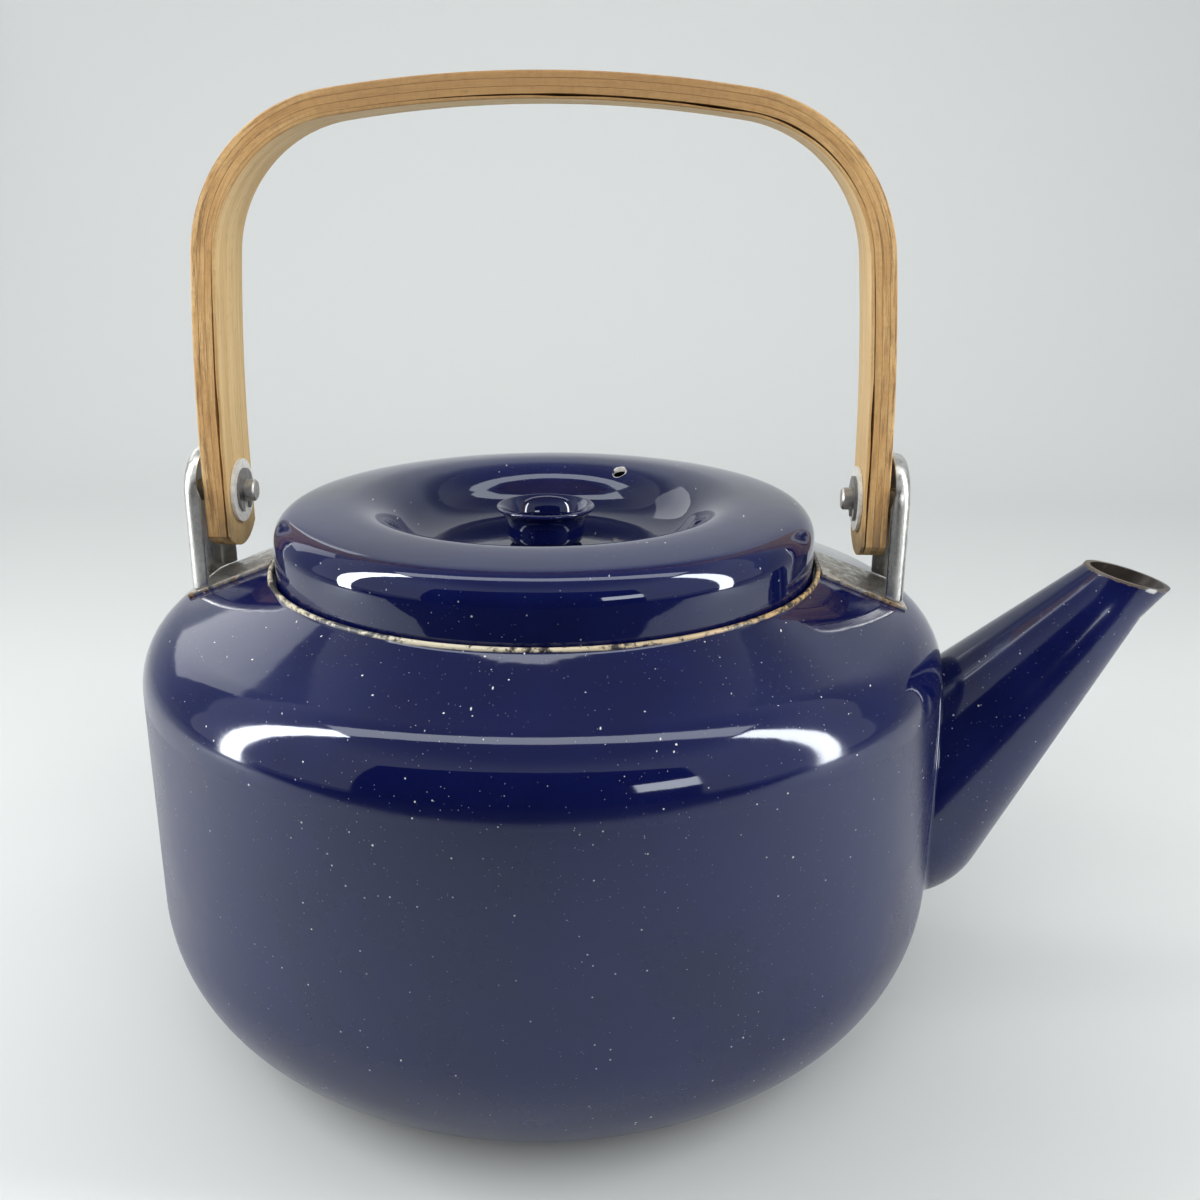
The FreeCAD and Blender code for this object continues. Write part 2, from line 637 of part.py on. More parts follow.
def arch(depth):
    """Give the right half of the arch at a depth inside its outer face, from the end to mid-crown."""
    bow = f"(Sizes.bow_radius - {depth})"
    corner = f"(Sizes.corner_radius - {depth})"
    crown = f"(Sizes.crown_radius - {depth})"
    return [
        (f"{bail_half_span} - {depth}", bail_end_z),
        (f"{bail_half_span} - {depth}", bow_z, bow, 1),
        (f"{bow_centre_x} + {bow} * cos({lean})", f"{bow_z} + {bow} * sin({lean})", corner, 1),
        (f"{crown} * sin({crown_half_angle})",
         f"{crown_centre_z} + {crown} * cos({crown_half_angle})", crown, 1),
        ("0", f"{crown_centre_z} + {crown}"),
    ]


def mirrored(corners):
    """Give the left half of the arch, walked from the crown's middle down to the end."""
    left = []
    for across, up, *arc in reversed_outline(corners):
        arc = (arc[0], -arc[1]) if arc else ()
        left.append((across if across == "0" else f"-({across})", up) + tuple(arc))
    return left


def handle_ply(name, outer_depth, inner_depth):
    """One ply: its bent strip, its round ends and the holes for the studs."""
    ply = new_body(name)
    band = new_sketch(ply, f"{name}_band", "XZ_Plane")
    outer = arch(outer_depth)
    inner = arch(inner_depth)
    over = outer[:-1] + mirrored(outer)
    under = inner[:-1] + mirrored(inner)
    draw(band, over + reversed_outline(under))
    pad(ply, f"{name}_strip", band, "Sizes.bail_width", both_ways=True)
    half_width = "(Sizes.bail_width / 2)"
    beyond = "Sizes.bail_width"
    corner_rise = f"({pivot_z} - sqrt(Sizes.tip_radius ^ 2 - {half_width} ^ 2))"
    ends = new_sketch(ply, f"{name}_ends_outline", "YZ_Plane")
    draw(ends, [
        (f"-{half_width}", corner_rise, "Sizes.tip_radius", 1),
        ("0", f"{pivot_z} - Sizes.tip_radius", "Sizes.tip_radius", 1),
        (half_width, corner_rise),
        (beyond, corner_rise),
        (beyond, f"{bail_end_z} - Sizes.ply_thickness"),
        (f"-{beyond}", f"{bail_end_z} - Sizes.ply_thickness"),
        (f"-{beyond}", corner_rise),
    ])
    pocket(ply, f"{name}_ends", ends)
    holes = new_sketch(ply, f"{name}_holes_outline", "YZ_Plane")
    draw_circle(holes, "0", pivot_z, "Sizes.stud_radius + Sizes.stud_running_gap")
    pocket(ply, f"{name}_holes", holes)
    node(ply, name)


for index, place in enumerate(thick_plies):
    depth = f"({index} * {ply_step})"
    handle_ply(f"handle_ply_{place}", depth, f"({depth} + Sizes.ply_thickness)")
handle_ply("handle_ply_inner", thin_ply_depth, bail_thickness)

doc.recompute()
for obj in doc.Objects:
    if "Invalid" in obj.State or "Error" in obj.State:
        raise RuntimeError(f"{obj.Label} failed: {obj.State}")
for obj in NODES:
    if obj.Shape.isNull() or not obj.Shape.isValid():
        raise RuntimeError(f"{obj.Label} has no valid shape")
    if len(obj.Shape.Solids) != 1:
        raise RuntimeError(f"{obj.Label} is {len(obj.Shape.Solids)} solids")

os.makedirs("parts", exist_ok=True)
for obj in NODES:
    obj.Shape.exportStep(f"parts/{obj.Label}.step")
    box = obj.Shape.BoundBox
    print(f"{obj.Label}: {obj.Shape.Volume:.0f} mm3, x {box.XMin:.1f} to {box.XMax:.1f}, "
          f"y {box.YMin:.1f} to {box.YMax:.1f}, z {box.ZMin:.1f} to {box.ZMax:.1f}")
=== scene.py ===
import math

import bpy
from mathutils import Matrix, Vector, noise


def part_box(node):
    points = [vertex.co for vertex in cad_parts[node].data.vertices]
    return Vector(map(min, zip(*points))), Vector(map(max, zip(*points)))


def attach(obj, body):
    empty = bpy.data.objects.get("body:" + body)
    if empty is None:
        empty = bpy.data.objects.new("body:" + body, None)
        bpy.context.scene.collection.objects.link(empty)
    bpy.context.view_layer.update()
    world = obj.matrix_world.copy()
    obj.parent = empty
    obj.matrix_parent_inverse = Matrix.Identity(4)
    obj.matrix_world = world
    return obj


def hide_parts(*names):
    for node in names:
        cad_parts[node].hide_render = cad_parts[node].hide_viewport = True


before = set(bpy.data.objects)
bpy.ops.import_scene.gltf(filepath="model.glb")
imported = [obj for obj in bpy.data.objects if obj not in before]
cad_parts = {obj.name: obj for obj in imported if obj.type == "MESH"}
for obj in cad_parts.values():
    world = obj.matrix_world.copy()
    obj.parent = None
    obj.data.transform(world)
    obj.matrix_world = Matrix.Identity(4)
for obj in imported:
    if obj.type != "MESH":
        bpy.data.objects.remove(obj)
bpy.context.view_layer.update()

# Pan
# The lower half of the pot: a deep cup pressed from steel sheet, with a flat base and a large round
# corner. It is coated in navy glass enamel, which years of washing have left hazy on the wall.
MM = 0.001
pan_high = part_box("body_pan")[1]
body_radius = pan_high.y
seam_height = pan_high.z
sheet = 1.2 * MM
corner_radius = 39 * MM
corner_centre = body_radius - corner_radius
facet = 2.0 * MM
turn_steps = 288


def arc(centre_x, centre_z, radius, start, end):
    """Give points on an arc in the XZ plane, between two angles in degrees from +X towards +Z."""
    sweep = math.radians(end - start)
    steps = max(8, math.ceil(abs(sweep) * radius / facet))
    angles = [math.radians(start) + sweep * step / steps for step in range(steps + 1)]
    return [Vector((centre_x + radius * math.cos(a), 0, centre_z + radius * math.sin(a))) for a in angles]


def straight(*corners):
    """Give points along straight runs in the XZ plane, close enough to keep the shading even."""
    points = [Vector((corners[0][0], 0, corners[0][1]))]
    for x, z in corners[1:]:
        start = points[-1]
        end = Vector((x, 0, z))
        steps = max(1, math.ceil((end - start).length / (2 * facet)))
        points += [start.lerp(end, step / steps) for step in range(1, steps + 1)]
    return points


def pan_side(inset):
    """Give the pan's section from the axis out to the seam, inset from its face."""
    return (
        straight((0, inset), (corner_centre, inset))
        + arc(corner_centre, corner_radius, corner_radius - inset, -90, 0)
        + straight((body_radius - inset, corner_radius), (body_radius - inset, seam_height))
    )


def drawn_line(name, points):
    """Start a piece as a single corner and draw it out into a line of edges. Leaves edit mode on."""
    bpy.ops.object.select_all(action="DESELECT")
    bpy.ops.mesh.primitive_plane_add(size=MM)
    piece = bpy.context.active_object
    piece.name = name
    bpy.ops.object.mode_set(mode="EDIT")
    bpy.ops.mesh.merge(type="CENTER")
    bpy.ops.transform.translate(value=points[0])
    here = points[0]
    for point in points[1:]:
        if (point - here).length > 1e-7:
            bpy.ops.mesh.extrude_vertices_move(TRANSFORM_OT_translate={"value": point - here})
            here = point
    return piece


def turned(name, outline, steps=turn_steps, axis=(0, 0, 1), centre=(0, 0, 0)):
    """Turn an outline once round an axis into a closed shell."""
    piece = drawn_line(name, outline)
    bpy.ops.mesh.select_all(action="SELECT")
    bpy.ops.mesh.spin(steps=steps, angle=math.tau, axis=axis, center=centre)
    bpy.ops.mesh.select_all(action="SELECT")
    bpy.ops.mesh.remove_doubles(threshold=1e-6)
    bpy.ops.mesh.normals_make_consistent(inside=False)
    bpy.ops.object.mode_set(mode="OBJECT")
    return piece


def made_active(piece):
    """Leave only this piece active, so that the next step works on it."""
    bpy.ops.object.select_all(action="DESELECT")
    bpy.context.view_layer.objects.active = piece


def applied(piece, kind, **settings):
    """Add a modifier to a piece and make it permanent."""
    change = piece.modifiers.new(kind.lower(), kind)
    for name, value in settings.items():
        setattr(change, name, value)
    made_active(piece)
    bpy.ops.object.modifier_apply(modifier=change.name)


def cut_away(piece, cutter):
    """Take the cutter's space out of a piece and throw the cutter away."""
    applied(piece, "BOOLEAN", operation="DIFFERENCE", solver="EXACT", object=cutter)
    bpy.data.objects.remove(cutter)


def smooth(piece, degrees=30):
    """Shade a piece smooth, apart from edges that turn by more than an angle."""
    made_active(piece)
    piece.select_set(True)
    bpy.ops.object.shade_smooth_by_angle(angle=math.radians(degrees))


def stands_for(piece, node, body):
    """Put a piece in the place of a node of the frame."""
    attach(piece, body)
    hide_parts(node)


def join(value, socket):
    """Link a socket to another node's socket, or set it to a plain value."""
    if isinstance(value, bpy.types.NodeSocket):
        socket.id_data.links.new(value, socket)
    else:
        socket.default_value = value


def set_inputs(node, **inputs):
    """Set or link each input that is named, with _ for the spaces in its name."""
    for name, value in inputs.items():
        join(value, node.inputs[name.replace("_", " ")])


def shader_node(tree, kind, settings=None, **inputs):
    """Add a node with its settings and inputs."""
    node = tree.nodes.new(f"ShaderNode{kind}")
    for name, value in (settings or {}).items():
        setattr(node, name, value)
    set_inputs(node, **inputs)
    return node


def sum_node(kind, operation, values):
    """Add a node for one sum on values or sockets, in the tree that the sockets belong to."""
    sockets = [value for value in values if isinstance(value, bpy.types.NodeSocket)]
    node = shader_node(sockets[0].id_data, kind, {"operation": operation})
    for socket, value in zip(node.inputs, values):
        join(value, socket)
    return node


def sum_of(operation, *values):
    """Work out one sum on values or sockets and give the result's socket."""
    return sum_node("Math", operation, values).outputs[0]


def times(first, *others):
    """Multiply values or sockets."""
    for other in others:
        first = sum_of("MULTIPLY", first, other)
    return first


def vector_sum(operation, *values):
    """Work out one sum on places and give the result's socket: a single value, or else a place."""
    single = operation in ("DOT_PRODUCT", "DISTANCE", "LENGTH")
    return sum_node("VectorMath", operation, values).outputs["Value" if single else "Vector"]


def faded(value, low, high, low_result=0.0, high_result=1.0):
    """Run a value smoothly from one result to another between two limits."""
    node = shader_node(value.id_data, "MapRange", {"interpolation_type": "SMOOTHSTEP"}, Value=value,
                       From_Min=low, From_Max=high, To_Min=low_result, To_Max=high_result)
    return node.outputs["Result"]


def colour_between(share, first, second):
    """Blend two colours, each given as a value or a socket."""
    node = shader_node(share.id_data, "Mix", {"data_type": "RGBA"})
    for index, value in ((0, share), (6, first), (7, second)):
        join(value, node.inputs[index])
    return node.outputs[2]


def noise_at(place, scale, detail=3.0, roughness=0.5):
    """Give the grey value of a noise at a place, with its scale in lumps per metre."""
    node = shader_node(place.id_data, "TexNoise", Vector=place, Scale=scale, Detail=detail,
                       Roughness=roughness)
    return node.outputs["Fac"]


def parts_of(place):
    """Split a place into its X, Y and Z."""
    return shader_node(place.id_data, "SeparateXYZ", Vector=place).outputs


def stretched(place, scale, turn=(0, 0, 0)):
    """Turn and stretch a place, so that a pattern runs one way."""
    angles = [math.radians(angle) for angle in turn]
    node = shader_node(place.id_data, "Mapping", Vector=place, Rotation=angles, Scale=scale)
    return node.outputs["Vector"]


def cells_at(place, scale=1.0):
    """Scatter points through space. Gives the distance to the nearest one and its three chance values."""
    cells = shader_node(place.id_data, "TexVoronoi", Vector=place, Scale=scale)
    chance = shader_node(place.id_data, "SeparateColor", Color=cells.outputs["Color"])
    return cells.outputs["Distance"], chance.outputs


def new_material(name):
    """Start a material. Gives it with its tree and its shader."""
    material = bpy.data.materials.new(name)
    material.use_nodes = True
    return material, material.node_tree, material.node_tree.nodes["Principled BSDF"]


def new_group(name, inputs, outputs):
    """Start a node group of plain values. Each input has a name and a default, and each output a name."""
    tree = bpy.data.node_groups.new(name, "ShaderNodeTree")
    for label, default in inputs.items():
        socket = tree.interface.new_socket(label, in_out="INPUT", socket_type="NodeSocketFloat")
        socket.default_value = default
    for label in outputs:
        tree.interface.new_socket(label, in_out="OUTPUT", socket_type="NodeSocketFloat")
    return tree, tree.nodes.new("NodeGroupInput"), tree.nodes.new("NodeGroupOutput")


def enamel_wear_group():
    """Dust specks, short hairs, fine scratches, cloudy haze and the slight ripple of fired enamel."""
    inputs = {"Specks": 1.0, "Scratches": 1.0}
    tree, given, result = new_group("enamel_wear", inputs, ("Dust", "Scratch", "Haze", "Ripple"))
    place = shader_node(tree, "TexCoord").outputs["Object"]

    # Each size of speck has its cells per metre, how rare it is, its size in its cell and its strength.
    speck_kinds = ((330.0, 0.56, 0.08, 0.9), (760.0, 0.58, 0.10, 0.5), (1500.0, 0.54, 0.16, 0.3))
    patchy = faded(noise_at(place, 38.0), 0.30, 0.70, 0.6, 0.9)
    dust = 0.0
    for scale, rarity, size, strength in speck_kinds:
        distance, chance = cells_at(place, scale)
        outside = sum_of("SUBTRACT", distance, times(chance["Green"], size))
        kept = sum_of("GREATER_THAN", times(chance["Red"], patchy), rarity)
        speck = times(faded(outside, -0.02, 0.03, 1, 0), kept, strength)
        dust = sum_of("MAXIMUM", dust, speck)

    hair_stretch = (260, 40, 260)
    for angle, spin in ((25, 40), (-50, 115), (80, -20)):
        distance, chance = cells_at(stretched(place, hair_stretch, (angle, spin, angle - spin)))
        kept = sum_of("GREATER_THAN", chance["Blue"], 0.55)
        hair = times(faded(distance, 0.03, 0.06, 1, 0), kept, 0.7)
        dust = sum_of("MAXIMUM", dust, hair)

    scratch = 0.0
    for angle, spin, length in ((12, 65, 14), (-38, 150, 22), (71, 20, 10), (55, -75, 30)):
        along = stretched(place, (620, length, 620), (angle, spin, spin - angle))
        distance, chance = cells_at(along)
        kept = sum_of("GREATER_THAN", chance["Green"], 0.965)
        cut = times(faded(distance, 0.04, 0.08, 1, 0), kept, chance["Blue"])
        scratch = sum_of("MAXIMUM", scratch, cut)

    set_inputs(
        result,
        Dust=times(dust, given.outputs["Specks"]),
        Scratch=times(scratch, given.outputs["Scratches"]),
        Haze=noise_at(place, 24.0, 5.0, 0.6),
        Ripple=noise_at(place, 120.0, 2.0),
    )
    return tree


enamel_wear = enamel_wear_group()
navy = (0.0032, 0.0056, 0.050, 1)
navy_deep = (0.0022, 0.0038, 0.036, 1)
dust_white = (0.62, 0.62, 0.60, 1)
enamel_ior = 1.60
enamel_sheen = (0.86, 0.92, 1.0, 1)


def enamel(name, gloss, hazy_gloss, specks=1.0, scratches=1.0, overlay=None):
    """A navy enamel. The overlay adds what only one piece shows: it takes the place, the colour and the
    roughness so far, and gives back the colour and the roughness."""
    material, tree, shader = new_material(name)
    place = shader_node(tree, "TexCoord").outputs["Object"]
    settings = {"node_tree": enamel_wear}
    wear = shader_node(tree, "Group", settings, Specks=specks, Scratches=scratches).outputs
    colour = colour_between(faded(wear["Haze"], 0.35, 0.65), navy_deep, navy)
    colour = colour_between(times(wear["Scratch"], 0.22), colour, dust_white)
    colour = colour_between(times(wear["Dust"], 0.85), colour, dust_white)
    roughness = faded(wear["Haze"], 0.35, 0.70, gloss, hazy_gloss)
    roughness = sum_of("ADD", roughness, times(wear["Dust"], 0.5))
    if overlay:
        colour, roughness = overlay(place, colour, roughness)
    bump = shader_node(tree, "Bump", Strength=0.06, Distance=0.6 * MM, Height=wear["Ripple"])
    set_inputs(shader, Base_Color=colour, Roughness=roughness, Normal=bump.outputs["Normal"],
               IOR=enamel_ior, Specular_Tint=enamel_sheen)
    return material


def inside_enamel():
    """The dull black-brown coat inside the pot, spotted with lime."""
    coat_black = (0.012, 0.009, 0.007, 1)
    coat_brown = (0.040, 0.030, 0.022, 1)
    lime_white = (0.22, 0.19, 0.15, 1)
    material, tree, shader = new_material("inside_enamel")
    place = shader_node(tree, "TexCoord").outputs["Object"]
    lime = faded(noise_at(place, 260.0, 6.0, 0.7), 0.56, 0.70)
    cloud = noise_at(place, 40.0, 4.0)
    colour = colour_between(cloud, coat_black, coat_brown)
    colour = colour_between(times(lime, 0.5), colour, lime_white)
    set_inputs(shader, Base_Color=colour, Roughness=faded(cloud, 0.3, 0.7, 0.30, 0.55))
    return material


pot_inside = inside_enamel()


def coat_inside(piece, middle, lowest=-1.0, highest=1.0):
    """Give the inside coat to the faces that look towards a point and lie between two heights."""
    piece.data.materials.append(pot_inside)
    for face in piece.data.polygons:
        if face.normal.dot(face.center - middle) < 0 and lowest < face.center.z < highest:
            face.material_index = 1


def pan_marks(place, colour, roughness):
    """Scuffed ring where the base meets the table, and a wall that is hazier than the round corner."""
    scuff_grey = (0.10, 0.09, 0.08, 1)
    height = parts_of(place)["Z"]
    roughness = sum_of("ADD", roughness, faded(height, 4 * MM, 40 * MM, 0.08, 0.17))
    scuff = times(faded(height, 0.0, 1.2 * MM, 1, 0), noise_at(place, 500.0))
    colour = colour_between(scuff, colour, scuff_grey)
    return colour, sum_of("ADD", roughness, times(scuff, 0.4))


pan = turned("pan", pan_side(0) + pan_side(sheet)[::-1])

# Spout
# A short drawn cone with a round heel, welded over a hole in the pan and enamelled with it. Its mouth
# is cut on a slant, where the bare sheet shows brown, with one bright chip on the near side.
spout_angle = 49.5
spout_root = Vector((body_radius, 0, seam_height - 31.1 * MM))
spout_axis = Vector((math.cos(math.radians(spout_angle)), 0, math.sin(math.radians(spout_angle))))
spout_front = Vector((spout_axis.z, 0, -spout_axis.x))
root_radius = 23.3 * MM
tip_radius = 9.6 * MM
taper_length = 65.25 * MM
spout_length = 70.8 * MM
mouth_tilt = math.radians(14.2)
mouth = spout_root + spout_axis * spout_length
mouth_normal = Vector((math.sin(mouth_tilt), 0, math.cos(mouth_tilt)))
chip_middle = mouth + Vector((3.0, -9.4, -1.8)) * MM
heel_start = 7.7 * MM
heel_radius = 23 * MM
heel_sweep = 60
taper = math.atan((root_radius - tip_radius) / taper_length)
heel_centre_x = root_radius + heel_start * math.tan(taper) - heel_radius * math.cos(taper)
heel_centre_z = -heel_start - heel_radius * math.sin(taper)


def spout_side(inset):
    """Give the cone's side on its own upright axis, from the heel up past the mouth, inset from its face."""
    heel = arc(heel_centre_x, heel_centre_z, heel_radius - inset, -heel_sweep, math.degrees(taper))
    neck_z = taper_length - inset * math.tan(taper / 2)
    neck_x = tip_radius - inset
    past_mouth = spout_length + 2 * tip_radius
    return heel + straight((heel[-1].x, heel[-1].z), (neck_x, neck_z), (neck_x, past_mouth))


def on_spout_axis(points):
    """Lean points that were laid out on an upright axis over to the spout's place."""
    return [spout_root + spout_front * point.x + spout_axis * point.z for point in points]


def spout_bore():
    """The solid inside of the spout, which also makes the hole in the pan."""
    side = spout_side(sheet)
    outline = [Vector((0, 0, side[0].z))] + side + [Vector((0, 0, side[-1].z))]
    return turned("spout_bore", on_spout_axis(outline), 96, spout_axis, spout_root)


def pot_space():
    """The space that the outside of the pan fills, with a straight top, which trims the spout's root."""
    return turned("pot_space", pan_side(0) + straight((body_radius, seam_height), (0, seam_height)))


def spout_marks(place, colour, roughness):
    """Bare brown sheet at the mouth's edge, a bright chip on the near side, and a hazier underside."""
    bare_brown = (0.085, 0.062, 0.044, 1)
    chip_silver = (0.50, 0.50, 0.49, 1)
    from_mouth = vector_sum("SUBTRACT", place, mouth)
    ragged = times(sum_of("SUBTRACT", noise_at(place, 900.0, 4.0), 0.5), 0.9 * MM)
    depth = sum_of("ADD", vector_sum("DOT_PRODUCT", from_mouth, mouth_normal), ragged)
    rim = faded(depth, -0.75 * MM, -0.35 * MM)
    colour = colour_between(rim, colour, bare_brown)
    from_chip = vector_sum("DISTANCE", place, chip_middle)
    chip_reach = sum_of("ADD", from_chip, times(ragged, 2.0))
    near_chip = faded(chip_reach, 1.2 * MM, 2.0 * MM, 1, 0)
    chip = times(near_chip, faded(depth, -1.3 * MM, -0.7 * MM))
    colour = colour_between(chip, colour, chip_silver)
    below = vector_sum("DOT_PRODUCT", from_mouth, spout_front)
    roughness = sum_of("ADD", roughness, faded(below, -2 * MM, 12 * MM, 0.0, 0.16))
    return colour, sum_of("MAXIMUM", roughness, times(rim, 0.55))


cut_away(pan, spout_bore())
spout_outline = spout_side(0) + spout_side(sheet)[::-1] + spout_side(0)[:1]
spout = turned("spout_cone", on_spout_axis(spout_outline), 160, spout_axis, spout_root)
cut_away(spout, pot_space())
bpy.ops.object.select_all(action="DESELECT")
bpy.ops.mesh.primitive_cube_add(size=4 * tip_radius)
mouth_block = bpy.context.active_object
mouth_block.rotation_euler.y = mouth_tilt
mouth_block.location = mouth + mouth_normal * 2 * tip_radius
bpy.context.view_layer.update()
cut_away(spout, mouth_block)
spout.data.materials.append(enamel("spout_enamel", 0.09, 0.17, 0.8, 1.0, spout_marks))
spout.data.materials.append(pot_inside)
for face in spout.data.polygons:
    from_axis = face.center - spout_root
    from_axis -= spout_axis * from_axis.dot(spout_axis)
    if from_axis.dot(face.normal) < 0 and face.center.x > body_radius * 0.8:
        face.material_index = 1
smooth(spout)
stands_for(spout, "spout", "pot")

pan.data.materials.append(enamel("pan_enamel", 0.08, 0.16, 1.0, 1.0, pan_marks))
coat_inside(pan, Vector((0, 0, seam_height)))
smooth(pan)
stands_for(pan, "body_pan", "pot")

# Spout weld
# The weld bead round the spout's root, ground smooth and drowned in enamel, so that the cone runs into
# the wall in a small hollow.
weld_reach = 2.0 * MM
weld_sink = 0.25 * MM
weld_bite = 0.03 * MM
weld_steps = 240
weld_points = 9


def pot_distance(point):
    """How far a point lies outside the pot's face. It is below zero inside."""
    radius = point.xy.length
    if point.z < corner_radius:
        return math.hypot(radius - corner_centre, point.z - corner_radius) - corner_radius
    return radius - body_radius


def on_cone(turn, slide):
    """Give a point on the cone's face, at an angle round its axis and a way along it."""
    if slide < -heel_start:
        radius = heel_centre_x + math.sqrt(heel_radius ** 2 - (slide - heel_centre_z) ** 2)
    else:
        radius = root_radius - slide * math.tan(taper)
    out = spout_front * math.cos(turn) + Vector((0, math.sin(turn), 0))
    return spout_root + spout_axis * slide + out * radius


def weld_line(turn):
    """Find where the cone's face enters the pot's face, by halving."""
    inner = heel_centre_z - heel_radius * math.sin(math.radians(heel_sweep))
    outer = taper_length
    for _ in range(40):
        middle = (inner + outer) / 2
        if pot_distance(on_cone(turn, middle)) < 0:
            inner = middle
        else:
            outer = middle
    return inner


def weld_section(turn):
    """Give one cross-section of the bead: a hollow curve between the two faces, closed behind them."""
    step = 0.01 * MM
    slide = weld_line(turn)
    corner = on_cone(turn, slide)
    out_of_pot = Vector([pot_distance(corner + step * way) - pot_distance(corner - step * way)
                         for way in Matrix.Identity(3)]).normalized()
    round_cone = on_cone(turn + 1e-3, slide) - on_cone(turn - 1e-3, slide)
    up_cone = on_cone(turn, slide + step) - on_cone(turn, slide - step)
    out_of_cone = up_cone.cross(round_cone).normalized()
    if out_of_cone.dot(corner - spout_root - spout_axis * slide) < 0:
        out_of_cone.negate()
    along_pot = (out_of_cone - out_of_pot * out_of_cone.dot(out_of_pot)).normalized()
    on_pot = corner + along_pot * weld_reach
    on_pot -= out_of_pot * (pot_distance(on_pot) + weld_bite)
    on_spout = on_cone(turn, slide + weld_reach) - out_of_cone * weld_bite
    curve = []
    for index in range(weld_points):
        share = index / (weld_points - 1)
        curve.append(on_pot * (1 - share) ** 2 + corner * 2 * share * (1 - share) + on_spout * share ** 2)
    behind = corner - (out_of_pot + out_of_cone).normalized() * weld_sink
    return curve + [behind]


def skin_faces(rows, count, ring):
    """Join rows of a closed cross-section into faces. A ring also joins its last row to its first."""
    faces = []
    for row in range(rows if ring else rows - 1):
        first = row * count
        after = (row + 1) % rows * count
        for index in range(count):
            beside = (index + 1) % count
            faces.append((first + index, first + beside, after + beside, after + index))
    return faces


def mesh_piece(name, corners, faces):
    """Make a piece from corners and faces. Leaves edit mode on, with all of it selected."""
    mesh = bpy.data.meshes.new(name)
    mesh.from_pydata(corners, [], faces)
    piece = bpy.data.objects.new(name, mesh)
    bpy.context.collection.objects.link(piece)
    made_active(piece)
    bpy.ops.object.mode_set(mode="EDIT")
    bpy.ops.mesh.select_all(action="SELECT")
    return piece


weld_corners = []
for step in range(weld_steps):
    weld_corners += weld_section(math.tau * step / weld_steps)
weld = mesh_piece("spout_weld", weld_corners, skin_faces(weld_steps, weld_points + 1, True))
bpy.ops.mesh.normals_make_consistent(inside=False)
bpy.ops.object.mode_set(mode="OBJECT")
weld.data.materials.append(enamel("weld_enamel", 0.07, 0.14, 0.5, 0.2))
smooth(weld, 60)
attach(weld, "pot")

# Shoulder ring
# The upper half of the pot, pressed from sheet: a tight shoulder bend, a sloping breast, and a lip that
# is turned up round the mouth over the ledge that carries the lid. The lip's enamel has worn to the
# ground coat. On the side away from the spout, its cream is partly a painted highlight.
ring_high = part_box("shoulder_ring")[1].z
shoulder_bend = 16 * MM
shoulder_height = seam_height + 1.3 * MM
breast_slope = 20.8
mouth_radius = 68 * MM
lip_radius = sheet / 2
lip_outer = mouth_radius + sheet
lip_height = ring_high - lip_radius
ledge_width = 6 * MM
turn_down = 4 * MM
breast_end_z = lip_height - 0.6 * MM
ledge_height = breast_end_z - 5.5 * MM
bend_centre = body_radius - shoulder_bend


def lip_marks(place, colour, roughness):
    """Cream and ochre where the lip's enamel is worn through, ochre towards the spout, and a hazier foot.
    The cream on the lip's round top, away from the spout, is partly worn ground coat and partly a painted
    highlight.
    """
    cream_and_highlight = (0.52, 0.47, 0.34, 1)
    ochre = (0.42, 0.28, 0.12, 1)
    flake_black = (0.022, 0.018, 0.014, 1)
    split = parts_of(place)
    ragged = times(noise_at(place, 90.0, 3.0), 0.8 * MM)
    edge = sum_of("ADD", split["Z"], ragged)
    worn = faded(edge, breast_end_z + 0.55 * MM, breast_end_z + 0.95 * MM)
    # The cream side is partly worn ground coat and partly a painted highlight on the lip's round top.
    worn_ground_and_highlight = colour_between(faded(split["X"], -10 * MM, 60 * MM), cream_and_highlight, ochre)
    fine = times(noise_at(place, 520.0, 5.0, 0.65), 0.6)
    flake = sum_of("ADD", fine, times(noise_at(place, 55.0, 2.0), 0.4))
    worn_ground_and_highlight = colour_between(faded(flake, 0.45, 0.54), flake_black, worn_ground_and_highlight)
    colour = colour_between(worn, colour, worn_ground_and_highlight)
    foot_haze = faded(split["Z"], seam_height - 1 * MM, seam_height + 8 * MM, 0.17, 0.0)
    roughness = sum_of("ADD", roughness, foot_haze)
    return colour, sum_of("ADD", roughness, times(worn, 0.35))


def breast_at(radius):
    """Give the height of the breast's face at a radius."""
    return breast_end_z + (lip_outer - radius) * math.tan(math.radians(breast_slope))


ledge_inner = mouth_radius - ledge_width
lip_root = breast_end_z + 0.25 * MM
lip_fillet = lip_outer + 0.5 * MM
ring = turned(
    "shoulder_ring_shell",
    straight((body_radius, seam_height), (body_radius, shoulder_height))
    + arc(bend_centre, shoulder_height, shoulder_bend, 0, 90 - breast_slope)
    + straight((lip_fillet, breast_at(lip_fillet)), (lip_outer, lip_root))
    + straight((lip_outer, lip_root), (lip_outer, lip_height))
    + arc(mouth_radius + lip_radius, lip_height, lip_radius, 0, 180)
    + straight(
        (mouth_radius, lip_height),
        (mouth_radius, ledge_height),
        (ledge_inner, ledge_height),
        (ledge_inner, ledge_height - turn_down),
        (ledge_inner + sheet, ledge_height - turn_down),
        (ledge_inner + sheet, ledge_height - sheet),
        (lip_outer, ledge_height - sheet),
        (lip_outer, breast_end_z - sheet / math.cos(math.radians(breast_slope))),
    )
    + arc(bend_centre, shoulder_height, shoulder_bend - sheet, 90 - breast_slope, 0)
    + straight(
        (body_radius - sheet, shoulder_height),
        (body_radius - sheet, seam_height),
        (body_radius, seam_height),
    ),
)
ring.data.materials.append(enamel("shoulder_enamel", 0.04, 0.09, 1.4, 1.0, lip_marks))
coat_inside(ring, Vector((0, 0, seam_height)), highest=ledge_height - turn_down / 4)
smooth(ring)
stands_for(ring, "shoulder_ring", "pot")

# Brackets
# Two ears of bare stainless sheet on the shoulder, each a channel with a round top whose foot plate is
# welded to the breast. Handling has polished the edges, and rust creeps out under the front of the feet.
bracket_sheet = 1.0 * MM


